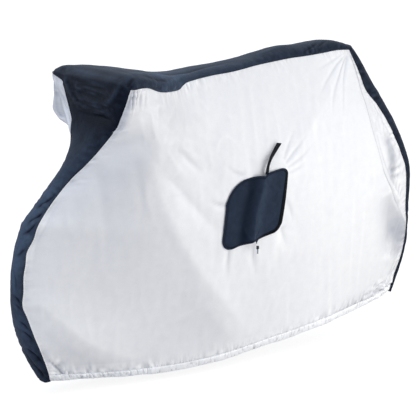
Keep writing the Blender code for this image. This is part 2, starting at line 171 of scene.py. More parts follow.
def gather(distance, along, pitch, reach, rise, amount, seed):
    # little tucks that run off a seam: ripples along it, times (distance / reach) exp(1 - distance / reach),
    # so that they are strongest at reach from it and gone on it
    form = gatherForm
    wander = noise(along / (form["wanderLength"] * pitch), along * 0 + seed, seed) * form["wander"]
    ripple = noise(along / pitch + wander, distance / (form["runOut"] * reach), seed + 1)
    ripple = np.sign(ripple) * np.abs(ripple) ** form["roundness"]
    away = distance / reach
    return rise * amount * away * np.exp(1 - away) * ripple


def bumpsAlong(along, rows, floor=0.0):
    # how strong the gathers are along a seam: a floor, and a soft bump for each (place, width, amount)
    amount = np.full_like(along, floor)
    for place, width, height in rows:
        amount += height * np.exp(-((along - place) / width) ** 2)
    return amount


# The cover's seams, the same on both sides. Each row: seam point x, half width, z, then the band's
# crown above it, x and z, and how square the arch between them is.

seams = {
    "front": np.array([
        (-0.742, 0.044, 0.055, -0.754, 0.046, 2.0),
        (-0.762, 0.068, 0.100, -0.779, 0.096, 2.0),
        (-0.786, 0.076, 0.165, -0.805, 0.160, 2.0),
        (-0.806, 0.066, 0.225, -0.827, 0.222, 2.0),
        (-0.822, 0.047, 0.290, -0.842, 0.288, 2.0),
        (-0.833, 0.040, 0.325, -0.845, 0.325, 2.0),
        (-0.826, 0.035, 0.375, -0.847, 0.375, 2.0),
        (-0.823, 0.035, 0.430, -0.843, 0.432, 2.0),
        (-0.816, 0.036, 0.465, -0.837, 0.467, 2.0),
        (-0.811, 0.036, 0.500, -0.829, 0.504, 2.0),
        (-0.786, 0.043, 0.550, -0.810, 0.558, 2.0),
        (-0.779, 0.046, 0.575, -0.798, 0.583, 2.0),
        (-0.738, 0.037, 0.630, -0.753, 0.640, 2.0),
        (-0.697, 0.037, 0.678, -0.711, 0.690, 2.0),
        (-0.648, 0.043, 0.730, -0.663, 0.743, 2.0),
        (-0.604, 0.068, 0.778, -0.621, 0.791, 2.0),
        (-0.567, 0.104, 0.834, -0.584, 0.845, 2.2),
        (-0.548, 0.154, 0.890, -0.569, 0.900, 2.4),
        (-0.543, 0.200, 0.946, -0.567, 0.955, 2.6),
        (-0.541, 0.234, 1.000, -0.569, 1.010, 3.0),
        (-0.540, 0.260, 1.036, -0.566, 1.050, 3.4),
    ]),
    "top": np.array([
        (-0.540, 0.260, 1.036, -0.566, 1.050, 3.4),
        (-0.526, 0.264, 1.036, -0.535, 1.072, 3.6),
        (-0.503, 0.252, 1.037, -0.500, 1.080, 3.6),
        (-0.463, 0.230, 1.035, -0.450, 1.078, 3.4),
        (-0.400, 0.200, 1.016, -0.385, 1.069, 3.0),
        (-0.325, 0.161, 1.011, -0.312, 1.057, 2.6),
        (-0.292, 0.140, 1.013, -0.282, 1.055, 2.4),
        (-0.262, 0.123, 1.028, -0.254, 1.054, 2.3),
        (-0.212, 0.105, 1.037, -0.205, 1.056, 2.1),
        (-0.145, 0.095, 1.046, -0.140, 1.066, 2.1),
        (-0.040, 0.086, 1.056, -0.035, 1.077, 2.1),
        (0.066, 0.080, 1.073, 0.070, 1.094, 2.1),
        (0.136, 0.078, 1.082, 0.140, 1.111, 2.1),
        (0.205, 0.077, 1.090, 0.210, 1.125, 2.2),
        (0.277, 0.076, 1.095, 0.285, 1.128, 2.2),
        (0.350, 0.074, 1.102, 0.360, 1.137, 2.3),
        (0.427, 0.066, 1.109, 0.435, 1.139, 2.4),
        (0.492, 0.054, 1.107, 0.520, 1.119, 2.4),
    ]),
    "rear": np.array([
        (0.743, 0.036, 0.145, 0.762, 0.130, 2.0),
        (0.768, 0.036, 0.205, 0.790, 0.192, 2.0),
        (0.793, 0.036, 0.265, 0.813, 0.256, 2.0),
        (0.810, 0.036, 0.330, 0.832, 0.326, 2.0),
        (0.818, 0.036, 0.400, 0.839, 0.400, 2.0),
        (0.810, 0.038, 0.480, 0.841, 0.480, 2.0),
        (0.808, 0.040, 0.560, 0.845, 0.560, 2.0),
        (0.800, 0.041, 0.635, 0.840, 0.640, 2.0),
        (0.773, 0.043, 0.695, 0.818, 0.702, 2.0),
        (0.738, 0.046, 0.755, 0.787, 0.765, 2.0),
        (0.699, 0.047, 0.818, 0.746, 0.830, 2.0),
        (0.646, 0.048, 0.885, 0.699, 0.896, 2.0),
        (0.578, 0.050, 0.954, 0.650, 0.968, 2.0),
        (0.548, 0.053, 1.010, 0.606, 1.022, 2.1),
        (0.520, 0.054, 1.060, 0.562, 1.076, 2.2),
        (0.492, 0.054, 1.107, 0.520, 1.119, 2.4),
    ]),
    "hem": np.array([
        (-0.742, 0.044, 0.055), (-0.680, 0.048, 0.050), (-0.570, 0.063, 0.040), (-0.490, 0.081, 0.034),
        (-0.403, 0.097, 0.031), (-0.316, 0.111, 0.030), (-0.225, 0.120, 0.031), (-0.126, 0.122, 0.035),
        (-0.016, 0.117, 0.042), (0.092, 0.110, 0.052), (0.203, 0.108, 0.064), (0.277, 0.110, 0.075),
        (0.368, 0.106, 0.087), (0.462, 0.092, 0.100), (0.612, 0.064, 0.119), (0.693, 0.050, 0.134),
        (0.743, 0.036, 0.145),
    ]),
    # how much of the arch's far half the band covers up the front seam: (share of the seam, share)
    "farEdge": np.array([
        (0.0, 1.0), (0.740, 1.0), (0.800, 0.70), (0.845, 0.42), (0.890, 0.385), (0.930, 0.375),
        (0.965, 0.36), (0.985, 0.42), (1.0, 0.97),
    ]),
    # how far a side panel stands out: nine sections from front to rear, each from the hem to the top
    "belly": np.array([
        (0.044, 0.042, 0.044, 0.088, 0.260),
        (0.066, 0.084, 0.118, 0.215, 0.212),
        (0.103, 0.124, 0.183, 0.185, 0.148),
        (0.121, 0.155, 0.184, 0.150, 0.100),
        (0.116, 0.152, 0.164, 0.131, 0.086),
        (0.109, 0.138, 0.146, 0.118, 0.079),
        (0.106, 0.122, 0.128, 0.107, 0.077),
        (0.080, 0.105, 0.108, 0.098, 0.074),
        (0.045, 0.045, 0.046, 0.048, 0.054),
    ]),
}

panelCut = {
    "length": 1.5,              # nominal: turns shares of the panel into metres along it
    "height": 1.0,              # and up it
    "seamPower": 7,             # how fast the seams' own waviness dies out inside the panel
    "evenReach": 0.10,          # the seams' kinks are evened out over this share of their length,
    "evenSteps": (401, 15),     # at so many places, each from so many around it,
    "kinkPower": 12,            # and die out this fast inside the panel
    "seamFade": 0.010,          # share of the panel in which folds die out towards a seam
    "gripReach": 0.288,         # the panel hangs plumb off the grips, this far out,
    "gripLow": 0.842,           # from this height
    "gripFull": 0.935,          # fully from here up
    "gripForward": 0.40,        # and as much forward for each metre out
    "gripStart": 0.008,         # from this share behind the front seam
    "gripTop": 0.008,           # and below the top seam,
    "gripEnd": 0.10,            # dying out over this share towards the rear
    "gripShare": {"near": 0.35, "far": 1.0},
    "wrapSteps": 24,            # columns of the far panel that go on round the grip,
    "wrapUnder": 0.015,         # this share of the arch under the band,
    "wrapSlack": 0.016,         # and hang this loosely,
    "wrapCreases": (3.1, 14),   # with so many creases round it and up it
    # the flap carries a painted highlight, at full tone
    "wrapTone": 1.0,
    "wrapWidth": 0.02,          # its width on the cut, as a share
    "tone": 0.74,
    "toneGain": 120.0,          # painted shade in creases and painted highlight on ridges, per metre of fine relief
    "tip": {"place": (-0.545, 0.255, 1.045), "move": (-0.008, 0.005, 0.008), "reach": 0.06},
    "seamRidge": -0.0055,       # the cloth dips beside the front seam,
    "seamRidgeStart": 0.003,    # from the band's edge on,
    "seamRidgeAway": 0.006,     # and most this far behind it,
    "seamRidgeBroken": (0.65, 0.5, 0.05),   # but unevenly: mean, wander, over what share of the seam
    "seamShine": 0.30,          # a painted highlight beside the front seam, up to this far from it
    "seamShineAway": 0.006,
    "hemHeight": 0.025,         # the casing for the elastic
    "groove": 0.0035,           # its stitches draw the cloth in
    "grooveWidth": 0.006,
    "grooveEnds": 0.01,
    "underCasing": 0.75,        # the cloth ends behind the casing, this far up it
    "hemPuff": 0.006,           # the cloth stands out above the drawn-in hem
    "hemPuffHeight": 0.030,
    "hemEnds": 0.02,            # and dies out at its two ends
    # the seams' lengths, and that of the hem, in metres
    "seamLength": {"front": 1.25, "top": 1.08, "rear": 1.10, "hem": 1.55},
    "sideShift": {"near": 0.0, "far": 11.0},    # gives each side its own noise
    "thickness": 0.0009,
    "flat": (1.70, 1.12),
    "flatArea": 1.50,
}


def seamRow(name, t):
    # the seam's table row at share t of its length
    rows = seams[name]
    return through(chordShares(rows, [0, 1, 2]), rows, t)


def bandArch(rows, share):
    # a superellipse between the seams: along the arch's angle, the lift is cos^(2/n), the reach across
    # is sin^(2/n), and n is how square it is
    power = 2 / rows[..., 5]
    angle = share * np.pi / 2
    lift = np.maximum(np.cos(angle), 0) ** power
    across = np.sign(angle) * np.abs(np.sin(angle)) ** power
    return np.stack([
        rows[..., 0] + (rows[..., 3] - rows[..., 0]) * lift,
        rows[..., 1] * across,
        rows[..., 2] + (rows[..., 4] - rows[..., 2]) * lift,
    ], -1)


def farEdge(t):
    # the farEdge table read smoothly, and never past the seam
    table = seams["farEdge"]
    return np.minimum(through(table[:, 0], table[:, 1:], t)[..., 0], 1.0)


def pullTip(points):
    # the far grip's corner, drawn out from its table place and dying out round it as a bell
    tip = panelCut["tip"]
    away = np.linalg.norm(points - np.array(tip["place"]), axis=-1, keepdims=True)
    return points + np.array(tip["move"]) * np.exp(-(away / tip["reach"]) ** 2)


def bellyOut(u, v):
    # the belly table read smoothly both ways, and upwards as the mean of a short stretch
    table = seams["belly"]
    along = through(np.linspace(0, 1, table.shape[0]), np.eye(table.shape[0]), u)
    reach = np.minimum(panelCut["evenReach"], np.minimum(v, 1 - v))
    heights = np.linspace(0, 1, table.shape[1])
    columns = np.eye(table.shape[1])
    up = np.mean([through(heights, columns, v + share * reach) for share in (-1, -0.5, 0, 0.5, 1)], axis=0)
    return np.einsum("...i,...j,ij->...", along, up, table)


def evenSeam(name):
    # a seam without its kinks: each point is the mean of the seam's stretch around it
    places, around = panelCut["evenSteps"]
    t = np.linspace(0, 1, places)
    reach = np.minimum(panelCut["evenReach"], np.minimum(t, 1 - t))
    rows = [seamRow(name, t + share * reach)[..., :3] for share in np.linspace(-1, 1, around)]
    return t, np.mean(rows, axis=0)


evenSeams = {name: evenSeam(name) for name in ("front", "rear")}


def evenRow(name, t):
    # the seam without its kinks at share t of its length
    stations, points = evenSeams[name]
    return np.stack([np.interp(t, stations, points[:, axis]) for axis in range(3)], -1)


def panelBase(u, v, side):
    # x and z: a sheet stretched between the front seam, rear seam, hem and top seam (Coons patch); the
    # kinks of the front and rear seams die out inwards as a high power.
    # out: the belly table, plus what it misses at the four edges, dying out inwards as a high power,
    # plus the cloth that hangs plumb off the grip, plus the puff above the hem
    cut = panelCut
    front = seamRow("front", v)[..., :3]
    rear = seamRow("rear", v)[..., :3]
    evenFront = evenRow("front", v)
    evenRear = evenRow("rear", v)
    low = seamRow("hem", u)
    top = seamRow("top", u)[..., :3]
    zero = np.zeros_like(u)
    one = np.ones_like(u)
    across = u[..., None]
    up = v[..., None]
    corners = ((1 - across) * (1 - up) * seams["hem"][0] + across * (1 - up) * seams["hem"][-1]
               + (1 - across) * up * seams["top"][0, :3] + across * up * seams["top"][-1, :3])
    place = (1 - across) * evenFront + across * evenRear + (1 - up) * low + up * top - corners
    place = place + (1 - across) ** cut["kinkPower"] * (front - evenFront)
    place = place + across ** cut["kinkPower"] * (rear - evenRear)
    x, z = place[..., 0], place[..., 2]
    out = bellyOut(u, v)
    out = out + (1 - u) ** cut["seamPower"] * (front[..., 1] - bellyOut(zero, v))
    out = out + u ** cut["seamPower"] * (rear[..., 1] - bellyOut(one, v))
    out = out + (1 - v) ** cut["seamPower"] * (low[..., 1] - bellyOut(u, zero))
    out = out + v ** cut["seamPower"] * (top[..., 1] - bellyOut(u, one))
    aboveHem = v * cut["height"] / cut["hemPuffHeight"]
    out = out + fadeAtEnds(u, cut["hemEnds"]) * cut["hemPuff"] * aboveHem * np.exp(1 - aboveHem)
    grip = np.clip((z - cut["gripLow"]) / (cut["gripFull"] - cut["gripLow"]), 0, 1)
    grip = grip * grip * (3 - 2 * grip)
    grip = grip * (1 - np.exp(-u / cut["gripStart"])) * (1 - np.exp(-(1 - v) / cut["gripTop"]))
    grip = grip * np.exp(-(u / cut["gripEnd"]) ** 2)
    hang = cut["gripShare"][side] * grip * np.maximum(cut["gripReach"] - out, 0)
    return np.stack([x - cut["gripForward"] * hang, out + hang, z], -1)


# The side panels' folds. Each row: name, route of x and z points, width on the left and right of the
# run, height (a trough is negative), power (2 is soft, 1 sharp) and where along it the fold is highest.

panelFolds = {
    "both": [
        ("belly's front edge", ((-0.470, 0.960), (-0.430, 0.800), (-0.375, 0.640), (-0.306, 0.504),
                                (-0.225, 0.384), (-0.116, 0.262), (0.020, 0.100)),
         0.070, 0.080, 0.014, 1.4, 0.58),
        ("trough below the grip", ((-0.480, 0.900), (-0.414, 0.783), (-0.304, 0.674), (-0.150, 0.510)),
         0.055, 0.026, -0.008, 1.3, 0.62),
        ("trough above it", ((-0.335, 0.828), (-0.280, 0.785), (-0.215, 0.728)),
         0.022, 0.013, -0.006, 1.3, 0.5),
        ("turn to the front wheel", ((-0.850, 0.400), (-0.735, 0.300), (-0.640, 0.205), (-0.400, 0.080)),
         0.110, 0.065, 0.021, 1.5, 0.45),
        ("hanging fold, front", ((-0.580, 0.800), (-0.572, 0.680), (-0.555, 0.480)),
         0.024, 0.020, -0.0024, 1.7, 0.35),
        ("hanging fold, second", ((-0.500, 0.830), (-0.455, 0.700), (-0.400, 0.520)),
         0.022, 0.018, -0.0022, 1.7, 0.4),
        ("hanging fold, third", ((-0.400, 0.620), (-0.330, 0.480), (-0.250, 0.340)),
         0.026, 0.022, -0.0022, 1.7, 0.4),
        ("ridge between them", ((-0.450, 0.740), (-0.430, 0.640), (-0.405, 0.560)),
         0.014, 0.012, 0.0030, 1.7, 0.45),
        ("ridge along the front seam", ((-0.665, 0.690), (-0.730, 0.610), (-0.778, 0.520), (-0.795, 0.420)),
         0.010, 0.006, -0.0035, 1.4, 0.45),
        ("saddle tuck, first", ((0.489, 1.094), (0.430, 1.020), (0.392, 0.950), (0.372, 0.840)),
         0.010, 0.007, -0.0080, 1.15, 0.22),
        ("saddle tuck, second", ((0.490, 1.090), (0.452, 1.010), (0.436, 0.930), (0.425, 0.830)),
         0.009, 0.007, -0.0060, 1.2, 0.22),
        ("saddle tuck, third", ((0.488, 1.096), (0.410, 1.045), (0.350, 0.985), (0.300, 0.910)),
         0.010, 0.007, -0.0065, 1.2, 0.22),
        ("saddle tuck, fourth", ((0.486, 1.100), (0.400, 1.070), (0.300, 1.030)),
         0.008, 0.007, -0.0035, 1.3, 0.3),
        ("crease below the saddle", ((0.486, 1.120), (0.551, 0.898), (0.571, 0.808), (0.601, 0.721),
                                     (0.637, 0.630), (0.696, 0.533), (0.790, 0.427)),
         0.008, 0.050, 0.0110, 1.2, 0.50),
        ("its shadow line", ((0.492, 1.120), (0.555, 0.900), (0.575, 0.810), (0.606, 0.723), (0.642, 0.633),
                             (0.701, 0.537), (0.790, 0.435)),
         0.005, 0.005, -0.0070, 1.3, 0.50),
        ("facet under the crease", ((0.630, 0.640), (0.704, 0.520), (0.790, 0.440), (0.850, 0.400)),
         0.018, 0.085, 0.0120, 1.5, 0.50),
        ("slack behind the crease, along the band", ((0.575, 0.950), (0.642, 0.862), (0.706, 0.772),
                                                     (0.785, 0.670)),
         0.012, 0.006, -0.0060, 1.2, 0.6),
        ("slack behind the crease, upright", ((0.610, 0.790), (0.649, 0.690), (0.696, 0.600)),
         0.012, 0.006, -0.0080, 1.2, 0.5),
        ("slack behind the crease, first spoke", ((0.680, 0.612), (0.723, 0.613), (0.790, 0.620)),
         0.007, 0.010, -0.0080, 1.2, 0.5),
        ("slack behind the crease, second spoke", ((0.672, 0.650), (0.715, 0.637), (0.780, 0.655)),
         0.007, 0.008, -0.0060, 1.2, 0.5),
        ("slack behind the crease, third spoke", ((0.670, 0.612), (0.712, 0.562), (0.785, 0.480)),
         0.010, 0.007, 0.0070, 1.2, 0.5),
        ("small facet there", ((0.680, 0.750), (0.712, 0.690), (0.725, 0.640)),
         0.008, 0.022, 0.0080, 1.3, 0.5),
        ("hollow by the rear hub", ((0.660, 0.560), (0.700, 0.430), (0.690, 0.290)),
         0.050, 0.045, -0.0180, 1.6, 0.5),
        ("crease at the rear seam, low", ((0.792, 0.320), (0.765, 0.265), (0.712, 0.200)),
         0.010, 0.012, -0.0070, 1.2, 0.45),
        ("strip by the rear seam, low", ((0.785, 0.270), (0.762, 0.220), (0.722, 0.165)),
         0.006, 0.014, -0.0090, 1.3, 0.5),
        ("corner of the front hem", ((-0.765, 0.150), (-0.729, 0.109), (-0.708, 0.082), (-0.680, 0.055)),
         0.008, 0.005, -0.0110, 1.2, 0.5),
    ],
    "near": [
        ("ridge from saddle to pouch", ((0.485, 1.100), (0.369, 0.949), (0.239, 0.797), (0.130, 0.680),
                                        (0.000, 0.560)),
         0.090, 0.080, 0.014, 1.4, 0.60),
        ("tuck under the grip, first", ((-0.528, 1.034), (-0.525, 1.000), (-0.522, 0.950)),
         0.004, 0.005, -0.0075, 1.3, 0.3),
        ("tuck under the grip, second", ((-0.511, 1.035), (-0.512, 1.005), (-0.514, 0.975)),
         0.004, 0.005, -0.0055, 1.3, 0.3),
        ("ridge under the grip", ((-0.519, 1.034), (-0.518, 0.980), (-0.520, 0.930)),
         0.004, 0.004, 0.0050, 1.3, 0.3),
        ("tuck under the grip, third", ((-0.492, 1.034), (-0.495, 1.005), (-0.500, 0.960)),
         0.004, 0.006, -0.0045, 1.3, 0.3),
        ("tuck under the grip, fourth", ((-0.470, 1.030), (-0.474, 1.000), (-0.482, 0.950)),
         0.005, 0.006, -0.0035, 1.3, 0.3),
        ("pull from the pouch, first", ((0.135, 0.735), (0.165, 0.790), (0.205, 0.850)),
         0.007, 0.009, -0.0045, 1.25, 0.25),
        ("pull from the pouch, second", ((0.140, 0.722), (0.195, 0.770), (0.262, 0.828)),
         0.007, 0.010, -0.0055, 1.25, 0.25),
        ("pull from the pouch, third", ((0.145, 0.705), (0.212, 0.735), (0.285, 0.790)),
         0.007, 0.010, -0.0050, 1.25, 0.25),
        ("pull from the pouch, fourth", ((0.150, 0.690), (0.195, 0.700), (0.240, 0.725)),
         0.006, 0.009, -0.0035, 1.3, 0.3),
        ("pull beside the pouch", ((0.140, 0.600), (0.165, 0.560), (0.180, 0.500)),
         0.010, 0.010, -0.0040, 1.4, 0.4),
        ("pull into the front of the pouch", ((-0.200, 0.640), (-0.160, 0.615), (-0.105, 0.605)),
         0.010, 0.008, -0.0040, 1.3, 0.6),
        ("pull at the pouch's top", ((-0.120, 0.745), (-0.075, 0.715), (-0.030, 0.700)),
         0.008, 0.010, -0.0040, 1.3, 0.6),
        ("ridge below the pouch", ((0.125, 0.500), (0.085, 0.390), (0.045, 0.270)),
         0.060, 0.050, 0.0060, 1.5, 0.35),
        ("below the pouch, front", ((-0.108, 0.462), (-0.114, 0.400), (-0.118, 0.330)),
         0.012, 0.009, -0.0045, 1.4, 0.25),
        ("below the pouch, middle", ((-0.005, 0.458), (0.004, 0.390), (0.018, 0.310)),
         0.016, 0.011, -0.0055, 1.4, 0.25),
        ("below the pouch, rear", ((0.122, 0.500), (0.140, 0.450), (0.165, 0.400)),
         0.016, 0.011, -0.0050, 1.4, 0.25),
    ],
    "far": [
        ("long soft fold", ((-0.150, 0.800), (-0.040, 0.520), (0.100, 0.250)),
         0.050, 0.050, -0.008, 2.0, 0.5),
        ("pull to the saddle", ((0.180, 0.640), (0.300, 0.840), (0.400, 0.980)),
         0.018, 0.028, -0.006, 1.5, 0.6),
    ],
}

# Each row: name, middle x and z, radius in x and z, direction in degrees, size of a crumple, how
# much longer it is than wide, height.
panelCrumples = {
    "both": [
        ("below the grip", -0.420, 0.930, 0.090, 0.100, 110, 0.040, 1.6, 0.0016),
        ("above the trough", -0.260, 0.850, 0.170, 0.150, 135, 0.055, 1.5, 0.0017),
        ("behind the crease, top", 0.650, 0.860, 0.060, 0.110, 110, 0.026, 1.6, 0.0026),
        ("behind the crease, low", 0.750, 0.640, 0.060, 0.130, 60, 0.028, 1.6, 0.0032),
        ("at the rear wheel", 0.740, 0.340, 0.060, 0.100, 60, 0.034, 1.7, 0.0016),
        ("over the rear hem corner", 0.680, 0.165, 0.090, 0.035, 15, 0.017, 1.9, 0.0062),
        ("over the front hem corner", -0.735, 0.095, 0.040, 0.050, 140, 0.018, 1.7, 0.0040),
    ],
    "near": [
        ("over the pouch", 0.060, 0.790, 0.130, 0.070, 150, 0.034, 1.8, 0.0006),
    ],
    "far": [],
}

# Each row: seam, pitch, reach, height, floor, then (place, width, amount) along the seam.
panelGathers = {
    "front": (0.015, 0.013, 0.0032, 0.12, ((0.97, 0.04, 1.4), (0.85, 0.03, 1.6), (0.74, 0.03, 1.2),
                                           (0.66, 0.03, 0.8), (0.30, 0.06, 0.3), (0.04, 0.03, 0.8))),
    "top": (0.015, 0.015, 0.0036, 0.05, ((0.05, 0.025, 1.2), (0.31, 0.035, 1.3), (0.38, 0.03, 0.7),
                                         (0.97, 0.03, 0.5))),
    "rear": (0.020, 0.015, 0.0028, 0.20, ((0.95, 0.05, 0.4), (0.60, 0.12, 0.7), (0.05, 0.05, 1.0))),
    "hem": (0.012, 0.009, 0.0044, 0.22, ((0.08, 0.05, 1.3), (0.22, 0.05, 0.8), (0.40, 0.03, 0.6),
                                         (0.93, 0.07, 1.6), (0.75, 0.06, 0.7))),
}
# The cloth's own softness, by seed: form, height, size in x and in z.
softCloth = {
    5: (noise, 0.0012, 0.090, 0.32),        # slow waves down the cloth
    9: (creased, 0.00055, 0.050, 0.16),
    13: (noise, 0.00020, 0.021, 0.026),
}

# Painted shade and painted highlight where the coated cloth turns from or to the light: rows as for the
# folds, with the change of tone in place of the height.
paintedPanelShade = [
    ("facet at the rear wheel", ((0.612, 0.680), (0.697, 0.534), (0.786, 0.432), (0.870, 0.345)),
     0.004, 0.100, -0.55, 2.5, 0.78),
    ("facet at the rear wheel, low", ((0.700, 0.450), (0.750, 0.360), (0.780, 0.260)),
     0.040, 0.055, -0.32, 2.0, 0.5),
    ("line of the crease", ((0.480, 1.140), (0.555, 0.900), (0.575, 0.810), (0.606, 0.723), (0.642, 0.633),
                            (0.701, 0.537), (0.810, 0.415)),
     0.0055, 0.0050, -1.10, 2.0, 0.42),
    ("facet behind the crease", ((0.662, 0.790), (0.692, 0.710), (0.702, 0.640), (0.700, 0.560)),
     0.022, 0.022, -0.68, 2.5, 0.5),
    ("strip over the rear hem", ((0.260, 0.085), (0.480, 0.115), (0.620, 0.138), (0.790, 0.170)),
     0.032, 0.020, -0.55, 1.5, 0.68),
    ("low at the front wheel", ((-0.830, 0.300), (-0.690, 0.165), (-0.520, 0.080)),
     0.020, 0.090, -0.20, 1.6, 0.5),
    ("low in the middle", ((-0.280, 0.360), (-0.180, 0.210), (-0.050, 0.070)),
     0.020, 0.150, -0.15, 1.6, 0.6),
    ("over the trough", ((-0.450, 1.010), (-0.330, 0.930), (-0.180, 0.900)), 0.070, 0.070, -0.12, 2.0, 0.5),
    ("middle of the trough", ((-0.320, 0.870), (-0.160, 0.740), (-0.040, 0.590)),
     0.080, 0.050, -0.08, 2.0, 0.5),
    ("under the grip", ((-0.550, 0.940), (-0.540, 0.850), (-0.530, 0.740)), 0.050, 0.050, 0.24, 2.0, 0.5),
    ("behind the grip", ((-0.492, 0.980), (-0.480, 0.890), (-0.468, 0.790)), 0.040, 0.040, 0.30, 2.0, 0.5),
    ("tuck under the grip, first", ((-0.529, 1.038), (-0.526, 1.005), (-0.523, 0.960)),
     0.003, 0.003, -0.90, 2.0, 0.4),
    ("tuck under the grip, second", ((-0.511, 1.035), (-0.512, 1.005), (-0.515, 0.970)),
     0.003, 0.003, -0.70, 2.0, 0.4),
    ("light between them", ((-0.520, 1.035), (-0.519, 1.000), (-0.519, 0.950)),
     0.004, 0.004, 0.40, 2.0, 0.5),
    ("crease at the front hem corner", ((-0.762, 0.146), (-0.729, 0.106), (-0.706, 0.080), (-0.688, 0.060)),
     0.003, 0.005, -0.80, 2.0, 0.5),
    ("light corner of the front hem", ((-0.765, 0.130), (-0.736, 0.085), (-0.720, 0.055)),
     0.014, 0.010, 0.35, 2.0, 0.5),
]


def panelRelief(u, v, x, z, side):
    # the folds, crumples and soft waves, dying out at the seams; the dip beside the front seam, as
    # x exp(1 - x); the stitched groove over the hem, a bell; and the gathers off the four seams
    cut = panelCut
    fade = fadeAtEnds(u, cut["seamFade"]) * (1 - np.exp(-(1 - v) / cut["seamFade"]))
    height = fade * routeFolds(x, z, panelFolds["both"] + panelFolds[side])
    sideShift = cut["sideShift"][side]
    height += fade * patches(x + sideShift, z, [
        (row[0], row[1] + sideShift, *row[2:]) for row in panelCrumples["both"] + panelCrumples[side]])
    for seed, (form, rise, sizeX, sizeZ) in softCloth.items():
        height += fade * rise * form(x / sizeX + sideShift, z / sizeZ, seed)
    beside = np.maximum(u * cut["length"] - cut["seamRidgeStart"], 0) / cut["seamRidgeAway"]
    mean, wander, length = cut["seamRidgeBroken"]
    broken = mean + wander * noise(v / length, v * 0 + sideShift, 27)
    height += cut["seamRidge"] * broken * beside * np.exp(1 - beside)
    aboveCasing = np.maximum(v * cut["height"] - cut["hemHeight"], 0)
    groove = (v * cut["height"] - cut["hemHeight"]) / cut["grooveWidth"]
    height -= cut["groove"] * np.exp(-groove ** 2) * fadeAtEnds(u, cut["grooveEnds"])
    distances = {
        "front": (u * cut["length"], v),
        "top": ((1 - v) * cut["height"], u),
        "rear": ((1 - u) * cut["length"], v),
        "hem": (aboveCasing, u),
    }
    for seed, (seam, (pitch, reach, rise, floor, bumps)) in enumerate(panelGathers.items()):
        distance, share = distances[seam]
        along = share * cut["seamLength"][seam] + sideShift
        height += gather(distance, along, pitch, reach, rise, bumpsAlong(share, bumps, floor), 60 + 4 * seed)
    return height


def fineRelief(height, steps=2):
    # how far each point stands above the mean of its neighbours, these grid steps to either side
    padded = np.pad(height, steps, mode="edge")
    rows, columns = height.shape
    shifts = range(2 * steps + 1)
    around = sum(padded[i:i + rows, j:j + columns] for i in shifts for j in shifts) / len(shifts) ** 2
    return height - around


def panelPoint(u, v, side, offset=0.0, relief=1.0):
    # the base sheet moved along its own outward normal by its relief and the offset; the normal is
    # the cross product of small steps up and along the sheet
    step = 1e-3
    u = np.asarray(u, float)
    v = np.asarray(v, float)
    here = panelBase(u, v, side)
    along = panelBase(np.minimum(u + step, 1), v, side) - panelBase(np.maximum(u - step, 0), v, side)
    up = panelBase(u, np.minimum(v + step, 1), side) - panelBase(u, np.maximum(v - step, 0), side)
    outward = unit(np.cross(up, along))
    height = offset + (relief * panelRelief(u, v, here[..., 0], here[..., 2], side) if relief else 0.0)
    return here + outward * np.asarray(height)[..., None], outward


def onPanel(x, z, side):
    # u and v of the panel's points that have these x and z, found by a few Newton steps
    u = np.full_like(x, 0.5)
    v = np.full_like(x, 0.5)
    step = 1e-4
    for _ in range(10):
        here = panelBase(u, v, side)
        along = (panelBase(u + step, v, side) - here) / step
        up = (panelBase(u, v + step, side) - here) / step
        missX = x - here[..., 0]
        missZ = z - here[..., 2]
        area = along[..., 0] * up[..., 2] - up[..., 0] * along[..., 2]
        u = u + (missX * up[..., 2] - missZ * up[..., 0]) / area
        v = v + (missZ * along[..., 0] - missX * along[..., 2]) / area
    return u, v


def toFrame(points, side="far"):
    # (x, out, z) of either side, as x, y, z of the part's own frame
    if side == "near":
        points = points * outerAxis
    return points - saddlePlace


def surface(name, points, uv, material, closedRows=False, closedColumns=False, turned=False):
    # a grid of points made into quads; turned flips the faces so that they point outwards
    rows, columns, _ = points.shape
    index = np.arange(rows * columns).reshape(rows, columns)
    if closedRows:
        index = np.vstack([index, index[:1]])
    if closedColumns:
        index = np.hstack([index, index[:, :1]])
    quads = np.stack([index[:-1, :-1], index[1:, :-1], index[1:, 1:], index[:-1, 1:]], -1).reshape(-1, 4)
    if turned:
        quads = quads[:, ::-1]
    mesh = bpy.data.meshes.new(name)
    mesh.vertices.add(rows * columns)
    mesh.vertices.foreach_set("co", points.reshape(-1).astype(np.float32))
    mesh.loops.add(quads.size)
    mesh.loops.foreach_set("vertex_index", quads.reshape(-1).astype(np.int32))
    mesh.polygons.add(len(quads))
    mesh.polygons.foreach_set("loop_start", np.arange(0, quads.size, 4, dtype=np.int32))
    mesh.update(calc_edges=True)
    layer = mesh.uv_layers.new(name="cut")
    layer.data.foreach_set("uv", uv.reshape(-1, 2)[quads.reshape(-1)].reshape(-1).astype(np.float32))
    mesh.validate()
    mesh.shade_smooth()
    mesh.materials.append(material)
    piece = bpy.data.objects.new(name, mesh)
    bpy.context.scene.collection.objects.link(piece)
    return piece


def giveThickness(piece, thickness):
    # a wall, half of it on either side of the surface
    wall = piece.modifiers.new("cloth", "SOLIDIFY")
    wall.thickness = thickness
    wall.offset = 0.0


def uvGrid(u, v):
    # every u with every v, as the piece's place on its cut
    return np.stack(np.meshgrid(u, v, indexing="ij"), -1)


def newMaterial(name, colour, roughness, metallic=0.0, specular=0.5):
    # one plain finish, which clothMaterial() adds to
    material = bpy.data.materials.new(name)
    material.use_nodes = True
    shader = material.node_tree.nodes["Principled BSDF"]
    shader.inputs["Base Color"].default_value = (*colour, 1.0)
    shader.inputs["Roughness"].default_value = roughness
    shader.inputs["Metallic"].default_value = metallic
    shader.inputs["Specular IOR Level"].default_value = specular
    return material


def addNode(tree, kind, **inputs):
    # inputs by name, with _ for a space: From_Min sets From Min
    node = tree.nodes.new(kind)
    for name, value in inputs.items():
        node.inputs[name.replace("_", " ")].default_value = value
    return node


def link(tree, fromNode, output, toNode, entry):
    # output and entry by name or number
    tree.links.new(fromNode.outputs[output], toNode.inputs[entry])


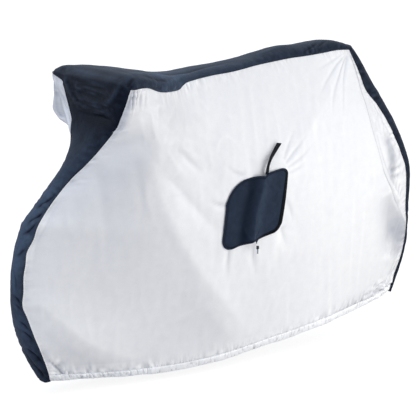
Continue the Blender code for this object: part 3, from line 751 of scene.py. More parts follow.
def calc(tree, operation, *terms):
    # one math node; each term is a number or a (node, output) pair
    node = tree.nodes.new("ShaderNodeMath")
    node.operation = operation
    for entry, term in enumerate(terms):
        if isinstance(term, tuple):
            link(tree, *term, node, entry)
        else:
            node.inputs[entry].default_value = term
    return node, "Value"


def noiseOver(tree, place, output, **inputs):
    # noise read at the place that another node gives
    node = addNode(tree, "ShaderNodeTexNoise", **inputs)
    link(tree, place, output, node, "Vector")
    return node


def remap(tree, source, **limits):
    # takes the value of a (node, output) pair from one span to another
    node = addNode(tree, "ShaderNodeMapRange", **limits)
    link(tree, *source, node, "Value")
    return node


def mixColours(tree, factor, *colours):
    # each colour is four numbers or a (node, output) pair
    node = tree.nodes.new("ShaderNodeMix")
    node.data_type = "RGBA"
    link(tree, *factor, node, "Factor")
    for entry, colour in zip("AB", colours):
        if len(colour) == 2:
            link(tree, *colour, node, entry)
        else:
            node.inputs[entry].default_value = colour
    return node, "Result"


def bumpOver(tree, height, strength, distance, under=None):
    # raises the surface by the value of a (node, output) pair, on top of the bump under it
    node = addNode(tree, "ShaderNodeBump", Strength=strength, Distance=distance)
    link(tree, *height, node, "Height")
    if under:
        link(tree, under, "Normal", node, "Normal")
    return node


def edgeTucks(tree, place, rows):
    # little tucks that run off a cut piece's edges. For each edge: noise stretched away from the edge,
    # times exp(-distance / reach), times a slow noise along it
    split = addNode(tree, "ShaderNodeSeparateXYZ")
    link(tree, place, "UV", split, 0)
    total = 0.0
    for seed, (axis, start, across, along, pitch, reach, rise) in enumerate(rows):
        other = "Y" if axis == "X" else "X"
        away = calc(tree, "ABSOLUTE", calc(tree, "SUBTRACT", (split, axis), start))
        away = calc(tree, "MULTIPLY", away, across)
        run = calc(tree, "MULTIPLY", (split, other), along)
        vector = addNode(tree, "ShaderNodeCombineXYZ", Z=clothLook["tuckApart"] * seed)
        link(tree, *calc(tree, "DIVIDE", run, pitch), vector, "X")
        link(tree, *calc(tree, "DIVIDE", away, reach * clothLook["tuckRunOut"]), vector, "Y")
        ripple = noiseOver(tree, vector, "Vector", **clothLook["tuckRipple"])
        slow = noiseOver(tree, vector, "Vector", **clothLook["tuckSlow"])
        patchy = remap(tree, (slow, "Fac"), **clothLook["tuckPatches"])
        patchy.interpolation_type = "SMOOTHSTEP"
        fall = calc(tree, "EXPONENT", calc(tree, "MULTIPLY", away, -1 / reach))
        strength = calc(tree, "MULTIPLY", calc(tree, "MULTIPLY", fall, rise), (patchy, "Result"))
        wave = calc(tree, "MULTIPLY", calc(tree, "SUBTRACT", (ripple, "Fac"), 0.5), strength)
        total = calc(tree, "ADD", total, wave)
    return total


# Each row: axis across the edge, where the edge is on it, the cut's length across and along it in
# metres, then the tucks' pitch, reach and height.
silverEdges = (
    ("X", 0.0, 1.50, 1.25, 0.013, 0.014, 0.0035),
    ("X", 1.0, 1.50, 1.10, 0.012, 0.024, 0.0080),
    ("Y", 1.0, 1.00, 1.10, 0.013, 0.020, 0.0060),
    ("Y", 0.025, 1.00, 1.55, 0.012, 0.012, 0.0090),
)
navyEdges = (
    ("Y", 0.0, 0.56, 3.30, 0.011, 0.014, 0.0050),
    ("Y", 1.0, 0.56, 3.30, 0.011, 0.014, 0.0050),
)


clothLook = {
    "blotch": {"Scale": 9.0, "Detail": 4.0, "Roughness": 0.55},
    "blotchSpan": {"From_Min": 0.30, "From_Max": 0.70},
    "streaks": {"Scale": 38.0, "Detail": 4.0, "Roughness": 0.6, "Distortion": 0.8},
    "streakFloor": 0.20,        # streaks show this much where the tone is 0
    "roughnessWander": 0.06,
    "weaveHeight": 0.0003,
    "pucker": {"Scale": 75.0, "Detail": 5.0, "Roughness": 0.6, "Distortion": 0.6},
    "puckerHeight": 0.0012,
    "tuckRipple": {"Scale": 1.0, "Detail": 2.0, "Roughness": 0.55, "Distortion": 0.3},
    "tuckSlow": {"Scale": 0.11, "Detail": 1.0},
    "tuckPatches": {"From_Min": 0.36, "From_Max": 0.62, "To_Min": 0.15},
    "tuckRunOut": 2.5,          # how slowly a tuck changes away from the edge, in reaches
    "tuckApart": 3.7,           # gives each edge its own noise
    "tuckTone": 170.0,          # painted highlight on a tuck for each metre it rises, and painted shade where it sinks
}


def clothMaterial(name, colour, otherColour, roughness, weavePitch, size, metallic=0.0, specular=0.4,
                  weave=0.15, crinkle=0.3, toned=False, streaky=0.9, edges=()):
    # colour wanders softly between two tones, led by the piece's own tone attribute, which holds most of its
    # painted light, where it is toned, and carries painted shade in the edges' tucks and painted highlight
    # on their ridges; roughness wanders with it; the bump is a plain weave of two crossed waves on the
    # piece's own cut, with a fine crinkle and the edges' tucks over it
    look = clothLook
    material = newMaterial(name, colour, roughness, metallic=metallic, specular=specular)
    tree = material.node_tree
    shader = tree.nodes["Principled BSDF"]
    place = addNode(tree, "ShaderNodeTexCoord")
    blotch = noiseOver(tree, place, "Object", **look["blotch"])
    if toned:
        own = addNode(tree, "ShaderNodeAttribute")
        own.attribute_name = "tone"
        streaks = noiseOver(tree, place, "Object", **look["streaks"])
        wander = calc(tree, "MULTIPLY", calc(tree, "SUBTRACT", (streaks, "Fac"), 0.5), streaky)
        grown = calc(tree, "MULTIPLY", wander, calc(tree, "ADD", (own, "Fac"), look["streakFloor"]))
        tone = remap(tree, calc(tree, "ADD", (own, "Fac"), grown))
    else:
        tone = remap(tree, (blotch, "Fac"), **look["blotchSpan"])
    shade = mixColours(tree, (tone, "Result"), (*colour, 1.0), (*otherColour, 1.0))
    rough = remap(tree, (blotch, "Fac"), To_Min=roughness - look["roughnessWander"],
                  To_Max=roughness + look["roughnessWander"])
    link(tree, rough, "Result", shader, "Roughness")
    onCloth = addNode(tree, "ShaderNodeMapping", Scale=(size[0] / weavePitch, size[1] / weavePitch, 1.0))
    link(tree, place, "UV", onCloth, "Vector")
    threads = []
    for direction in ("X", "Y"):
        wave = addNode(tree, "ShaderNodeTexWave", Scale=1.0, Distortion=0.0)
        wave.bands_direction = direction
        link(tree, onCloth, "Vector", wave, "Vector")
        threads.append((wave, "Fac"))
    bump = bumpOver(tree, calc(tree, "MULTIPLY", *threads), weave, look["weaveHeight"])
    pucker = noiseOver(tree, place, "Object", **look["pucker"])
    bump = bumpOver(tree, (pucker, "Fac"), crinkle, look["puckerHeight"], bump)
    if edges:
        tucks = edgeTucks(tree, place, edges)
        # painted shade in the tucks and painted highlight on their ridges: the colour is scaled by the
        # tucks' height
        tuckShading = addNode(tree, "ShaderNodeVectorMath")
        tuckShading.operation = "SCALE"
        link(tree, *shade, tuckShading, 0)
        link(tree, *calc(tree, "ADD", calc(tree, "MULTIPLY", tucks, look["tuckTone"]), 1.0), tuckShading, "Scale")
        shade = (tuckShading, "Vector")
        bump = bumpOver(tree, tucks, 1.0, 1.0, bump)
    link(tree, *shade, shader, "Base Color")
    link(tree, bump, "Normal", shader, "Normal")
    return material


def giveTone(piece, tone):
    # 0 keeps a toned cloth's first colour and 1 its second, at each point
    layer = piece.data.attributes.new("tone", "FLOAT", "POINT")
    layer.data.foreach_set("value", np.clip(tone, 0, 1).reshape(-1).astype(np.float32))


finishes = {
    # for the silver and navy cloths the first colour is the darkest painted shade and the second the
    # lightest painted highlight; for the binding they are its black zip tape and navy binding
    "silver": clothMaterial("silver coated taffeta", (0.44, 0.452, 0.500), (0.99, 0.99, 0.99), 0.42, 0.0012,
                            (1.5, 1.0), metallic=0.30, crinkle=0.25, toned=True, streaky=0.15,
                            edges=silverEdges),
    "silverHem": clothMaterial("silver taffeta, doubled", (0.34, 0.35, 0.39), (0.96, 0.965, 0.975), 0.42,
                               0.0012, (1.5, 0.05), metallic=0.30, crinkle=0.45, toned=True, streaky=0.5),
    "navy": clothMaterial("navy taffeta", (0.0040, 0.0068, 0.0160), (0.066, 0.100, 0.160), 0.42, 0.0012,
                          (3.3, 0.56), specular=0.12, crinkle=0.60, toned=True, edges=navyEdges),
    "navyPouch": clothMaterial("navy taffeta, pouch", (0.0040, 0.0085, 0.0200), (0.030, 0.048, 0.082), 0.44,
                               0.0010, (0.24, 0.24), specular=0.12, crinkle=0.30, toned=True),
    "binding": clothMaterial("pouch binding and zip tape", (0.0025, 0.0030, 0.0045), (0.012, 0.020, 0.038),
                             0.50, 0.0012, (0.95, 0.02), specular=0.12, weave=0.5, crinkle=0.15,
                             toned=True),
    "webbing": clothMaterial("black webbing", (0.005, 0.006, 0.010), (0.008, 0.009, 0.014), 0.50, 0.0022,
                             (0.22, 0.02), specular=0.12, weave=0.9, crinkle=0.10),
}
metals = {
    "slider": newMaterial("dark zip metal", (0.05, 0.05, 0.055), 0.35, metallic=0.9),
    "pull": newMaterial("bright zip metal", (0.72, 0.72, 0.74), 0.22, metallic=1.0),
}
print("finishes ready")

# stations along and up each side panel, closer where it folds more
panelGrid = {
    "near": (spread((0.03, 14), (0.12, 32), (0.22, 18), (0.42, 40), (0.58, 26), (0.70, 34), (0.76, 8),
                    (0.87, 30), (0.985, 58), (1.0, 8)),
             spread((0.045, 15), (0.30, 26), (0.60, 38), (0.97, 82), (1.0, 12))),
    "far": (spread((0.07, 20), (0.82, 100), (1.0, 36)), spread((0.05, 12), (0.60, 56), (1.0, 96))),
}


def farWrap(v):
    # columns of the far panel that go on round the grip, on the band's arch, to just under its edge,
    # with creased noise for slack, fading out as sin(pi share) at both ends
    steps = np.linspace(0, 1, panelCut["wrapSteps"], endpoint=False)
    rows = seamRow("front", v)
    begin = farEdge(v) - panelCut["wrapUnder"]
    share = begin[None, :] + (1 - begin)[None, :] * steps[:, None]
    creasesRound, creasesUp = panelCut["wrapCreases"]
    slack = panelCut["wrapSlack"] * creased(share * creasesRound, v[None, :] * creasesUp, 71)
    slack = slack * np.sin(np.pi * steps)[:, None]
    points = bandArch(rows[None, :, :], share)
    points[..., 0] -= slack * (1 - begin)[None, :]
    return (steps - 1) * panelCut["wrapWidth"], points


def sidePanel(name, side, node):
    # panelPoint() on a grid; its tone is painted light, growing with the fine relief and beside the front
    # seam, as a bell
    u, v = panelGrid[side]
    start = panelCut["underCasing"] * panelCut["hemHeight"] / panelCut["height"]
    v = start + v * (1 - start)
    grid = np.meshgrid(u, v, indexing="ij")
    points, _ = panelPoint(*grid, side)
    place = panelBase(*grid, side)
    relief = panelRelief(*grid, place[..., 0], place[..., 2], side)
    beside = grid[0] * panelCut["length"] / panelCut["seamShineAway"]
    # painted shade in the creases and painted highlight on the ridges, from the fine relief
    tone = panelCut["tone"] + panelCut["toneGain"] * fineRelief(relief)
    # a painted highlight beside the front seam
    tone += panelCut["seamShine"] * np.exp(-beside ** 2)
    # painted shade and painted highlight where the cloth turns from or to the light
    tone += routeFolds(place[..., 0], place[..., 2], paintedPanelShade)
    if side == "far":
        wrapUnder, wrap = farWrap(v)
        points = pullTip(np.concatenate([wrap, points]))
        u = np.concatenate([wrapUnder, u])
        # the flap round the far grip gets a painted highlight
        tone = np.concatenate([np.full(wrap.shape[:2], panelCut["wrapTone"]), tone])
    piece = surface(name, toFrame(points, side), uvGrid(u, v), finishes["silver"], turned=side == "far")
    giveTone(piece, tone)
    giveThickness(piece, panelCut["thickness"])
    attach(piece, "root")
    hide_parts(node)
    return piece


hemCasing = {
    "thick": 0.0020,            # half the casing's thickness in its creases
    "stations": 1000,
    "round": 16,                # points round the casing
    "ends": 0.0015,             # it stops this share short of the panel's corners
    "pitch": 0.0125,            # from crease to crease
    "gather": 0.0045,           # how far it puffs out between them
    "floor": 0.35,              # and how much of that where the hem isn't gathered
    "puffPower": 0.6,           # below 1 gives round puffs and sharp creases
    "fineShare": 0.5,           # smaller puffs over them
    "finer": 2.3,
    # how fast the puffs change from the upper edge to the lower, and where in the noise they start
    "down": (0.7, 5),
    "fineDown": (1.1, 9),
    "seed": {"near": 80, "far": 90},
    "waver": (0.0020, 0.055),   # how much the lower edge wavers, over what length
    "slant": (0.8, 0.090),      # and how much the creases lean
    "flatness": 0.8,            # of the oval section
    "tone": 0.10,
    "puffTone": 1.5,            # painted highlight on its puffs and painted shade in its creases
}


def hemStrip(name, side):
    # a flattened tube: an oval section carried along the hem, its width down the panel and its
    # thickness outwards. Its puffs are |noise| to a power along it: round hills between sharp creases
    hem = hemCasing
    u = np.linspace(hem["ends"], 1 - hem["ends"], hem["stations"])
    angle = np.linspace(0, 2 * np.pi, hem["round"], endpoint=False)
    height = panelCut["hemHeight"] / panelCut["height"]
    along = u * panelCut["seamLength"]["hem"]
    amount = bumpsAlong(u, panelGathers["hem"][4], hem["floor"])
    upper, outward = panelPoint(u, np.full_like(u, height), side, relief=1.0)
    lower, _ = panelPoint(u, np.zeros_like(u), side, relief=0.0)
    seed = hem["seed"][side]
    waver, slant = (size * noise(along / length, along * 0, seed + shift)
                    for shift, (size, length) in ((0, hem["waver"]), (3, hem["slant"])))
    lower[:, 2] += waver
    down = lower - upper
    across = 0.5 - 0.5 * np.sign(np.cos(angle)) * np.abs(np.cos(angle)) ** hem["flatness"]
    place = along[:, None] / hem["pitch"] + slant[:, None] * across[None, :]
    rate, start = hem["down"]
    puff = np.abs(noise(place, across[None, :] * rate + start, seed + 1)) ** hem["puffPower"]
    rate, start = hem["fineDown"]
    fine = np.abs(noise(place * hem["finer"], across[None, :] * rate + start, seed + 2)) ** hem["puffPower"]
    puff = puff + hem["fineShare"] * fine
    thick = (hem["thick"] + hem["gather"] * amount[:, None] * puff) * np.sin(angle)[None, :]
    points = upper[:, None, :] + down[:, None, :] * across[None, :, None]
    points = points + outward[:, None, :] * thick[..., None]
    uv = uvGrid(u, angle / (2 * np.pi))
    turned = side == "near"
    piece = surface(name, toFrame(points, side), uv, finishes["silverHem"], closedColumns=True,
                    turned=turned)
    closeEnds(piece, hem["stations"], hem["round"], turned)
    # the casing's tone is painted light: highlight on its puffs, shade in its creases
    giveTone(piece, hem["tone"] + hem["puffTone"] * puff)
    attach(piece, "root")
    return piece


def closeEnds(piece, rows, columns, turned):
    # one many-sided face over each end of a tube, facing away from it
    mesh = piece.data
    first = list(range(columns))
    last = [(rows - 1) * columns + k for k in range(columns)]
    caps = [first[::-1], last] if turned else [first, last[::-1]]
    quads = [list(face.vertices) for face in mesh.polygons]
    uv = np.zeros(len(mesh.loops) * 2, np.float32)
    mesh.uv_layers[0].data.foreach_get("uv", uv)
    loops = uv.reshape(-1, 2).tolist()
    position = np.zeros(len(mesh.vertices) * 3, np.float32)
    mesh.vertices.foreach_get("co", position)
    fresh = bpy.data.meshes.new(mesh.name + "Closed")
    fresh.from_pydata(position.reshape(-1, 3).tolist(), [], quads + caps)
    layer = fresh.uv_layers.new(name="cut")
    loops += [[0.0, 0.0]] * (2 * columns)
    layer.data.foreach_set("uv", np.array(loops, np.float32).reshape(-1))
    fresh.shade_smooth()
    fresh.materials.append(mesh.materials[0])
    piece.data = fresh


nearPanel = sidePanel("nearPanel", "near", "near_side")
farPanel = sidePanel("farPanel", "far", "far_side")
nearHem = hemStrip("nearHem", "near")
farHem = hemStrip("farHem", "far")
print("side panels hung")

# The centre band runs from the front hem up the front seam, along the top seam and down the rear
# seam. Its edges are turned under and lie over the panels' edges.

bandCut = {
    "thickness": 0.0010,
    "lap": 0.0035,              # how far its folded edge lies over the panel
    "lapHeight": 0.0015,        # its middle surface above the panel's there
    "lapShare": 0.01,           # the laps' width on the cut
    "farLap": 0.015,            # the lap as a share of the arch, where the far panel wraps round the grip
    "whole": 0.999,             # from this share of the arch on, it covers all of it
    "wander": (0.0006, 0.060, 0.050),       # height, and size along the band and across it
    "crinkle": (0.0004, 0.045, 0.040),
    "edgeFade": 0.007,          # its folds die out this close to its seams,
    "edgeFadePower": 1.5,       # this sharply
    "edgeCloser": 1.5,          # its columns lie closer towards its edges
    "foldTone": (0.6, 0.005, -1.3),         # painted highlight on folds and painted shade in troughs: how much lighter, of what height, and the least
    # painted shade in fine creases and painted highlight on fine ridges, per metre of fine relief
    "fineTone": 120.0,
    "seamShade": 0.60,          # painted shade on its near side over the front wheel,
    "seamShadeEnd": (0.80, 0.95),   # up to there,
    "seamShadePower": 3,        # and most at its very edge
    "across": 36,
    "flat": (0.56, 3.30),
    "flatArea": 0.66,
    "edgeTucks": (0.015, 0.012, 0.0022),    # pitch, reach and height of the gathers along its edges,
    "edgeFloor": 0.25,          # their strength between the gathered places,
    "edgeShift": 17.0,          # and what gives the far edge its own
}
bandStations = {
    "front": spread((0.05, 18), (0.30, 90), (0.50, 60), (0.68, 50), (0.85, 40), (1.0, 60)),
    "top": spread((0.30, 110), (0.70, 70), (1.0, 70)),
    "rear": spread((0.45, 76), (1.0, 96)),
}

# Each row: name, route of points (metres along the band from the front hem, y across it), widths,
# height, power and peak, as for the panels.
bandFolds = [
    ("edge of the bar", ((1.145, 0.190), (1.128, 0.000), (1.130, -0.235)), 0.008, 0.014, 0.0035, 1.3, 0.5),
    ("swag under the bar, first", ((1.110, 0.160), (1.090, 0.020), (1.082, -0.090), (1.090, -0.200)),
     0.008, 0.013, -0.0060, 1.3, 0.55),
    ("swag under the bar, second", ((1.088, 0.140), (1.056, 0.035), (1.049, -0.085), (1.062, -0.200)),
     0.008, 0.014, -0.0075, 1.3, 0.5),
    ("swag under the bar, third", ((1.055, 0.115), (1.024, 0.020), (1.018, -0.100), (1.036, -0.195)),
     0.009, 0.015, -0.0080, 1.3, 0.5),
    ("fullness above the tuck", ((1.030, 0.100), (1.012, -0.020), (1.010, -0.110), (1.010, -0.185)),
     0.020, 0.012, 0.0090, 1.4, 0.6),
    ("tuck below the swags", ((1.008, 0.100), (0.990, -0.010), (0.988, -0.111), (0.984, -0.180)),
     0.014, 0.024, -0.0130, 1.4, 0.65),
    ("pull from the near grip", ((1.110, -0.235), (1.060, -0.180), (1.010, -0.100)),
     0.010, 0.008, 0.0050, 1.3, 0.4),
    ("pull from the far grip", ((1.110, 0.165), (1.060, 0.110), (1.010, 0.040)),
     0.008, 0.012, 0.0050, 1.3, 0.4),
    ("tuck at the near grip's seam", ((1.105, -0.262), (1.140, -0.250), (1.180, -0.235)),
     0.006, 0.009, -0.0080, 1.2, 0.35),
    ("crease round the far grip", ((1.150, 0.225), (1.115, 0.170), (1.085, 0.145)),
     0.006, 0.008, -0.0050, 1.3, 0.5),
    ("ridge along the top, near", ((1.150, -0.210), (1.280, -0.150), (1.450, -0.080), (1.700, -0.040)),
     0.010, 0.014, 0.0040, 1.4, 0.35),
    ("trough along the top", ((1.160, -0.120), (1.290, -0.090), (1.470, -0.050), (1.720, -0.015)),
     0.014, 0.012, -0.0045, 1.5, 0.4),
    ("lobe's crease", ((1.200, -0.215), (1.290, -0.185), (1.380, -0.130)), 0.009, 0.008, -0.0045, 1.3, 0.55),
    ("lobe's edge", ((1.340, -0.160), (1.400, -0.118), (1.450, -0.085)), 0.010, 0.008, 0.0045, 1.4, 0.5),
    ("tuck in front of the saddle", ((1.960, -0.074), (2.010, -0.058), (2.070, -0.020)),
     0.008, 0.010, -0.0060, 1.3, 0.4),
    ("tuck beside the saddle", ((2.020, -0.073), (2.060, -0.050), (2.110, -0.015)),
     0.007, 0.009, -0.0060, 1.3, 0.4),
    ("ridge up to the saddle", ((1.760, -0.030), (1.880, -0.020), (2.030, -0.010)),
     0.010, 0.014, 0.0035, 1.5, 0.5),
    ("crease down the front wheel", ((0.280, -0.020), (0.420, -0.012), (0.560, -0.010)),
     0.010, 0.012, 0.0035, 1.5, 0.5),
    ("tuck at the hem, first", ((0.145, -0.010), (0.117, -0.062), (0.085, -0.075)),
     0.006, 0.010, -0.0080, 1.2, 0.55),
    ("tuck at the hem, second", ((0.078, 0.000), (0.055, -0.035), (0.028, -0.050)),
     0.006, 0.010, -0.0080, 1.2, 0.6),
    ("tuck at the hem, third", ((0.110, 0.010), (0.080, -0.020), (0.040, -0.030)),
     0.006, 0.008, -0.0060, 1.2, 0.5),
    ("tuck on the wheel, first", ((0.250, -0.020), (0.230, -0.049), (0.208, -0.064)),
     0.004, 0.008, -0.0065, 1.2, 0.6),
    ("tuck on the wheel, second", ((0.215, -0.025), (0.196, -0.056), (0.175, -0.072)),
     0.004, 0.008, -0.0065, 1.2, 0.6),
    ("tuck at the hub, first", ((0.336, -0.008), (0.314, -0.034), (0.298, -0.046)),
     0.004, 0.008, -0.0080, 1.2, 0.6),
    ("tuck at the hub, second", ((0.306, -0.010), (0.292, -0.034), (0.280, -0.050)),
     0.004, 0.006, -0.0060, 1.2, 0.6),
    ("step below the bend", ((0.452, 0.000), (0.479, -0.028), (0.505, -0.045)),
     0.005, 0.012, -0.0060, 1.2, 0.5),
    ("tuck at the bend, first", ((0.530, -0.006), (0.556, -0.033), (0.605, -0.048)),
     0.005, 0.009, -0.0080, 1.2, 0.5),
    ("tuck at the bend, second", ((0.570, -0.006), (0.612, -0.034), (0.665, -0.045)),
     0.005, 0.009, -0.0085, 1.2, 0.5),
    ("tuck at the bend, third", ((0.628, 0.000), (0.680, -0.032), (0.750, -0.044)),
     0.005, 0.010, -0.0080, 1.2, 0.5),
    ("pull along the wheel", ((0.340, -0.022), (0.380, -0.020), (0.430, -0.006)),
     0.004, 0.006, -0.0040, 1.3, 0.5),
    ("crease down the rear wheel", ((2.620, -0.010), (2.860, 0.000), (3.120, -0.005)),
     0.010, 0.012, 0.0035, 1.5, 0.5),
    ("tucks down the rear", ((2.300, -0.050), (2.400, -0.020), (2.520, 0.000)),
     0.008, 0.010, -0.0040, 1.3, 0.4),
]
bandCrumples = [
    ("under the bar", 1.050, -0.040, 0.060, 0.130, 90, 0.018, 2.2, 0.0030),
    ("at the front bend", 0.640, 0.000, 0.110, 0.040, 20, 0.024, 1.6, 0.0018),
    ("over the bar", 1.300, -0.080, 0.150, 0.110, 10, 0.030, 2.4, 0.0014),
    ("at the rear bend", 2.560, 0.000, 0.160, 0.040, 20, 0.024, 1.6, 0.0018),
    ("at the front hem", 0.050, 0.000, 0.080, 0.060, 30, 0.022, 1.6, 0.0020),
]
bandGathers = ((0.10, 0.10, 0.8), (0.62, 0.08, 1.0), (0.90, 0.10, 0.4), (1.12, 0.03, 0.8),
               (1.33, 0.08, 0.7), (1.98, 0.08, 1.0), (2.18, 0.05, 0.7), (2.45, 0.15, 0.6), (3.00, 0.15, 0.5))

# painted sheen and painted shade along the band: metres from the front hem, tone
bandPaintedLight = np.array([
    (0.00, 0.18), (0.10, 0.28), (0.22, 0.72), (0.33, 0.52), (0.45, 0.86), (0.55, 0.95), (0.70, 0.80),
    (0.80, 0.44), (0.90, 0.22), (0.97, 0.04), (1.02, 0.03), (1.08, 0.06), (1.11, 0.09), (1.16, 0.16),
    (1.25, 0.24), (1.35, 0.44), (1.50, 0.30), (1.90, 0.18), (2.10, 0.15), (2.25, 0.07), (2.40, 0.09),
    (3.40, 0.08),
])


def gridNormals(points):
    # the cross product of the grid's two directions, of length 1
    return unit(np.cross(np.gradient(points, axis=0), np.gradient(points, axis=1)))


def bandLap(side):
    # points on the panel a lap's width from its edge, all the way round, lifted off it
    cut = bandCut
    du = cut["lap"] / panelCut["length"]
    dv = cut["lap"] / panelCut["height"]
    front, top, rear = (bandStations[name] for name in ("front", "top", "rear"))
    top = top[1:]
    rear = rear[::-1][1:]
    u = np.concatenate([np.full_like(front, du), np.clip(top, du, 1 - du), np.full_like(rear, 1 - du)])
    v = np.concatenate([np.clip(front, 0, 1 - dv), np.full_like(top, 1 - dv), np.clip(rear, 0, 1 - dv)])
    points, _ = panelPoint(u, v, side, offset=cut["lapHeight"])
    return points


def centreBand():
    # bandArch() carried along the three seams, its columns spaced as 1 - (1 - share)^1.5 towards the
    # edges; folds, crumples and gathers along its normals; and a last column on either side over the panels
    cut = bandCut
    stations = np.concatenate([
        seamRow("front", bandStations["front"]),
        seamRow("top", bandStations["top"])[1:],
        seamRow("rear", bandStations["rear"])[::-1][1:],
    ])
    share = np.linspace(-1, 1, cut["across"] + 1)
    share = np.sign(share) * (1 - (1 - np.abs(share)) ** cut["edgeCloser"])
    covered = np.ones(len(stations))
    covered[:len(bandStations["front"])] = farEdge(bandStations["front"])
    shares = np.where(share > 0, share * covered[:, None], share)
    points = bandArch(stations[:, None, :], shares)
    middle = points[:, cut["across"] // 2]
    s = np.concatenate(([0.0], np.cumsum(np.linalg.norm(np.diff(middle, axis=0), axis=1))))
    outward = gridNormals(points)
    y = points[..., 1]
    along = np.broadcast_to(s[:, None], y.shape)
    arc = np.concatenate([np.zeros((len(s), 1)),
                          np.cumsum(np.linalg.norm(np.diff(points, axis=1), axis=2), axis=1)], 1)
    edge = np.minimum(arc, arc[:, -1:] - arc)
    height = routeFolds(along, y, bandFolds) + patches(along, y, bandCrumples)
    soft = ((cut["wander"], noise, 21), (cut["crinkle"], creased, 23))
    for (rise, sizeAlong, sizeAcross), form, seed in soft:
        height += rise * form(along / sizeAlong, y / sizeAcross, seed)
    height *= 1 - np.exp(-(edge / cut["edgeFade"]) ** cut["edgeFadePower"])
    amount = bumpsAlong(along, bandGathers, cut["edgeFloor"])
    for shift, sideArc in ((0.0, arc), (cut["edgeShift"], arc[:, -1:] - arc)):
        height += gather(sideArc, along + shift, *cut["edgeTucks"], amount, 31)
    lapLift = cut["lapHeight"] * np.exp(-(edge / cut["lap"]) ** 2)
    points = points + outward * (height + lapLift)[..., None]
    near = bandLap("near") * outerAxis
    past = bandArch(stations, np.minimum(covered + cut["farLap"], 1)) + outward[:, -1] * cut["lapHeight"]
    far = np.where(covered[:, None] < cut["whole"], past, bandLap("far"))
    points = pullTip(np.concatenate([near[:, None, :], points, far[:, None, :]], 1))
    # painted sheen and painted shade along the band
    tone = np.interp(along, bandPaintedLight[:, 0], bandPaintedLight[:, 1])
    lighter, full, least = cut["foldTone"]
    # painted highlight on the folds and painted shade in the troughs
    tone = tone * (1 + lighter * np.clip(height / full, least, 1)) + cut["fineTone"] * fineRelief(height)
    # painted shade on the band's near edge over the front wheel
    wheelPart = np.interp(along, cut["seamShadeEnd"], (1, 0))
    nearEdge = np.clip(-share, 0, 1)[None, :] ** cut["seamShadePower"]
    tone = tone * (1 - cut["seamShade"] * wheelPart * nearEdge)
    tone = np.concatenate([tone[:, :1], tone, tone[:, -1:]], 1)
    length = s / s[-1]
    lap = cut["lapShare"]
    width = np.concatenate([[-lap], (share + 1) / 2, [1 + lap]]) * (1 - 2 * lap) + lap
    piece = surface("centreBand", toFrame(points), uvGrid(length, width), finishes["navy"])
    giveTone(piece, tone)
    giveThickness(piece, cut["thickness"])
    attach(piece, "root")
    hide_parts("centre_band")
    print("band laid on,", round(float(s[-1]), 3), "m long")


centreBand()

pouchCut = {
    "lowerFront": (-0.144, 0.445),
    "upperFront": (-0.114, 0.671),
    "upperRear": (0.141, 0.707),
    "lowerRear": (0.104, 0.497),
    # corner radii as shares of half its width
    "corners": {"lowerFront": 0.42, "upperFront": 0.63, "upperRear": 0.21, "lowerRear": 0.22},
    "notches": ((0.13, 1.0, 0.0070, 0.10), (-0.02, -1.0, 0.0015, 0.10)),   # across, up, depth, width
    "notchReach": 0.7,          # a notch dies out this far along the fold,
    "notchPower": 1.3,          # and this sharply across it
    # its fold's line: up, across
    "foldLine": np.array([(-1.0, -0.03), (-0.45, -0.08), (0.10, -0.05), (0.60, 0.04), (1.0, 0.12)]),
    "offset": 0.0040,           # its middle surface above the panel's
    "ridge": 0.021,             # its own fold, beyond the panel's
    "ridgeFront": 0.17,         # the fold's steep front flank and its wider rear one, as shares
    "ridgeRear": 0.34,
    "ridgePower": 1.35,
    "trough": (0.0030, -0.36, 0.14),        # it sinks in beside the fold: depth, where and how wide
    "edgeQuiet": 0.12,          # its wrinkles die out this close to its edge
    "pullTone": 83.0,           # and its pulls carry a painted highlight for each metre they rise, and painted shade where they sink
    "fullness": 0.0035,
    "crinkle": (0.0012, 1.4, 0.5),      # height, how close across it, and how much it slants
    "wander": (0.0006, 4, 2.5),         # height, and how close across it and up it
    "panelShare": 0.8,          # it follows this much of the panel's own relief
    "tone": 0.36,
    # painted shade in front of the fold and painted highlight behind it: where, how wide, how much
    "shades": ((-0.26, 0.17, -0.32), (0.18, 0.19, 0.30)),
    "thickness": 0.0014,
    "steps": 92,
    "flat": (0.25, 0.24),
    "flatArea": 0.058,
}


# Each row: as for the panels, with the route across and up the pouch, from -1 to 1.
pouchFolds = [
    ("pull from the top notch, front", ((0.07, 1.0), (-0.15, 0.60), (-0.33, 0.10)),
     0.05, 0.08, 0.0040, 1.3, 0.3),
    ("pull from the top notch, rear", ((0.13, 1.0), (0.36, 0.60), (0.60, 0.30)),
     0.08, 0.05, -0.0030, 1.3, 0.3),
    ("pull from the lower notch, front", ((-0.05, -1.0), (-0.30, -0.65), (-0.45, -0.20)),
     0.05, 0.07, 0.0045, 1.3, 0.3),
    ("pull from the lower notch, rear", ((0.02, -1.0), (0.20, -0.70), (0.40, -0.45)),
     0.06, 0.05, -0.0035, 1.3, 0.3),
    ("slack low at the rear", ((0.95, -0.30), (0.65, -0.50), (0.40, -0.80)),
     0.10, 0.14, 0.0035, 1.5, 0.5),
]


def pouchPlace(across, up):
    # bilinear between the four corners, with the ends of its fold drawn in to a notch, as
    # exp(-|distance / width| ^ power)
    s = (across[..., None] + 1) / 2
    t = (up[..., None] + 1) / 2
    corner = {name: np.array(pouchCut[name]) for name in pouchCut["corners"]}
    low = corner["lowerFront"] * (1 - s) + corner["lowerRear"] * s
    high = corner["upperFront"] * (1 - s) + corner["upperRear"] * s
    place = low * (1 - t) + high * t
    z = place[..., 1]
    for notchAcross, end, depth, width in pouchCut["notches"]:
        nearEnd = np.maximum(1 - np.abs(end - up) / pouchCut["notchReach"], 0) ** 2
        bell = np.exp(-np.abs((across - notchAcross) / width) ** pouchCut["notchPower"])
        z = z - end * depth * nearEnd * bell
    return place[..., 0], z


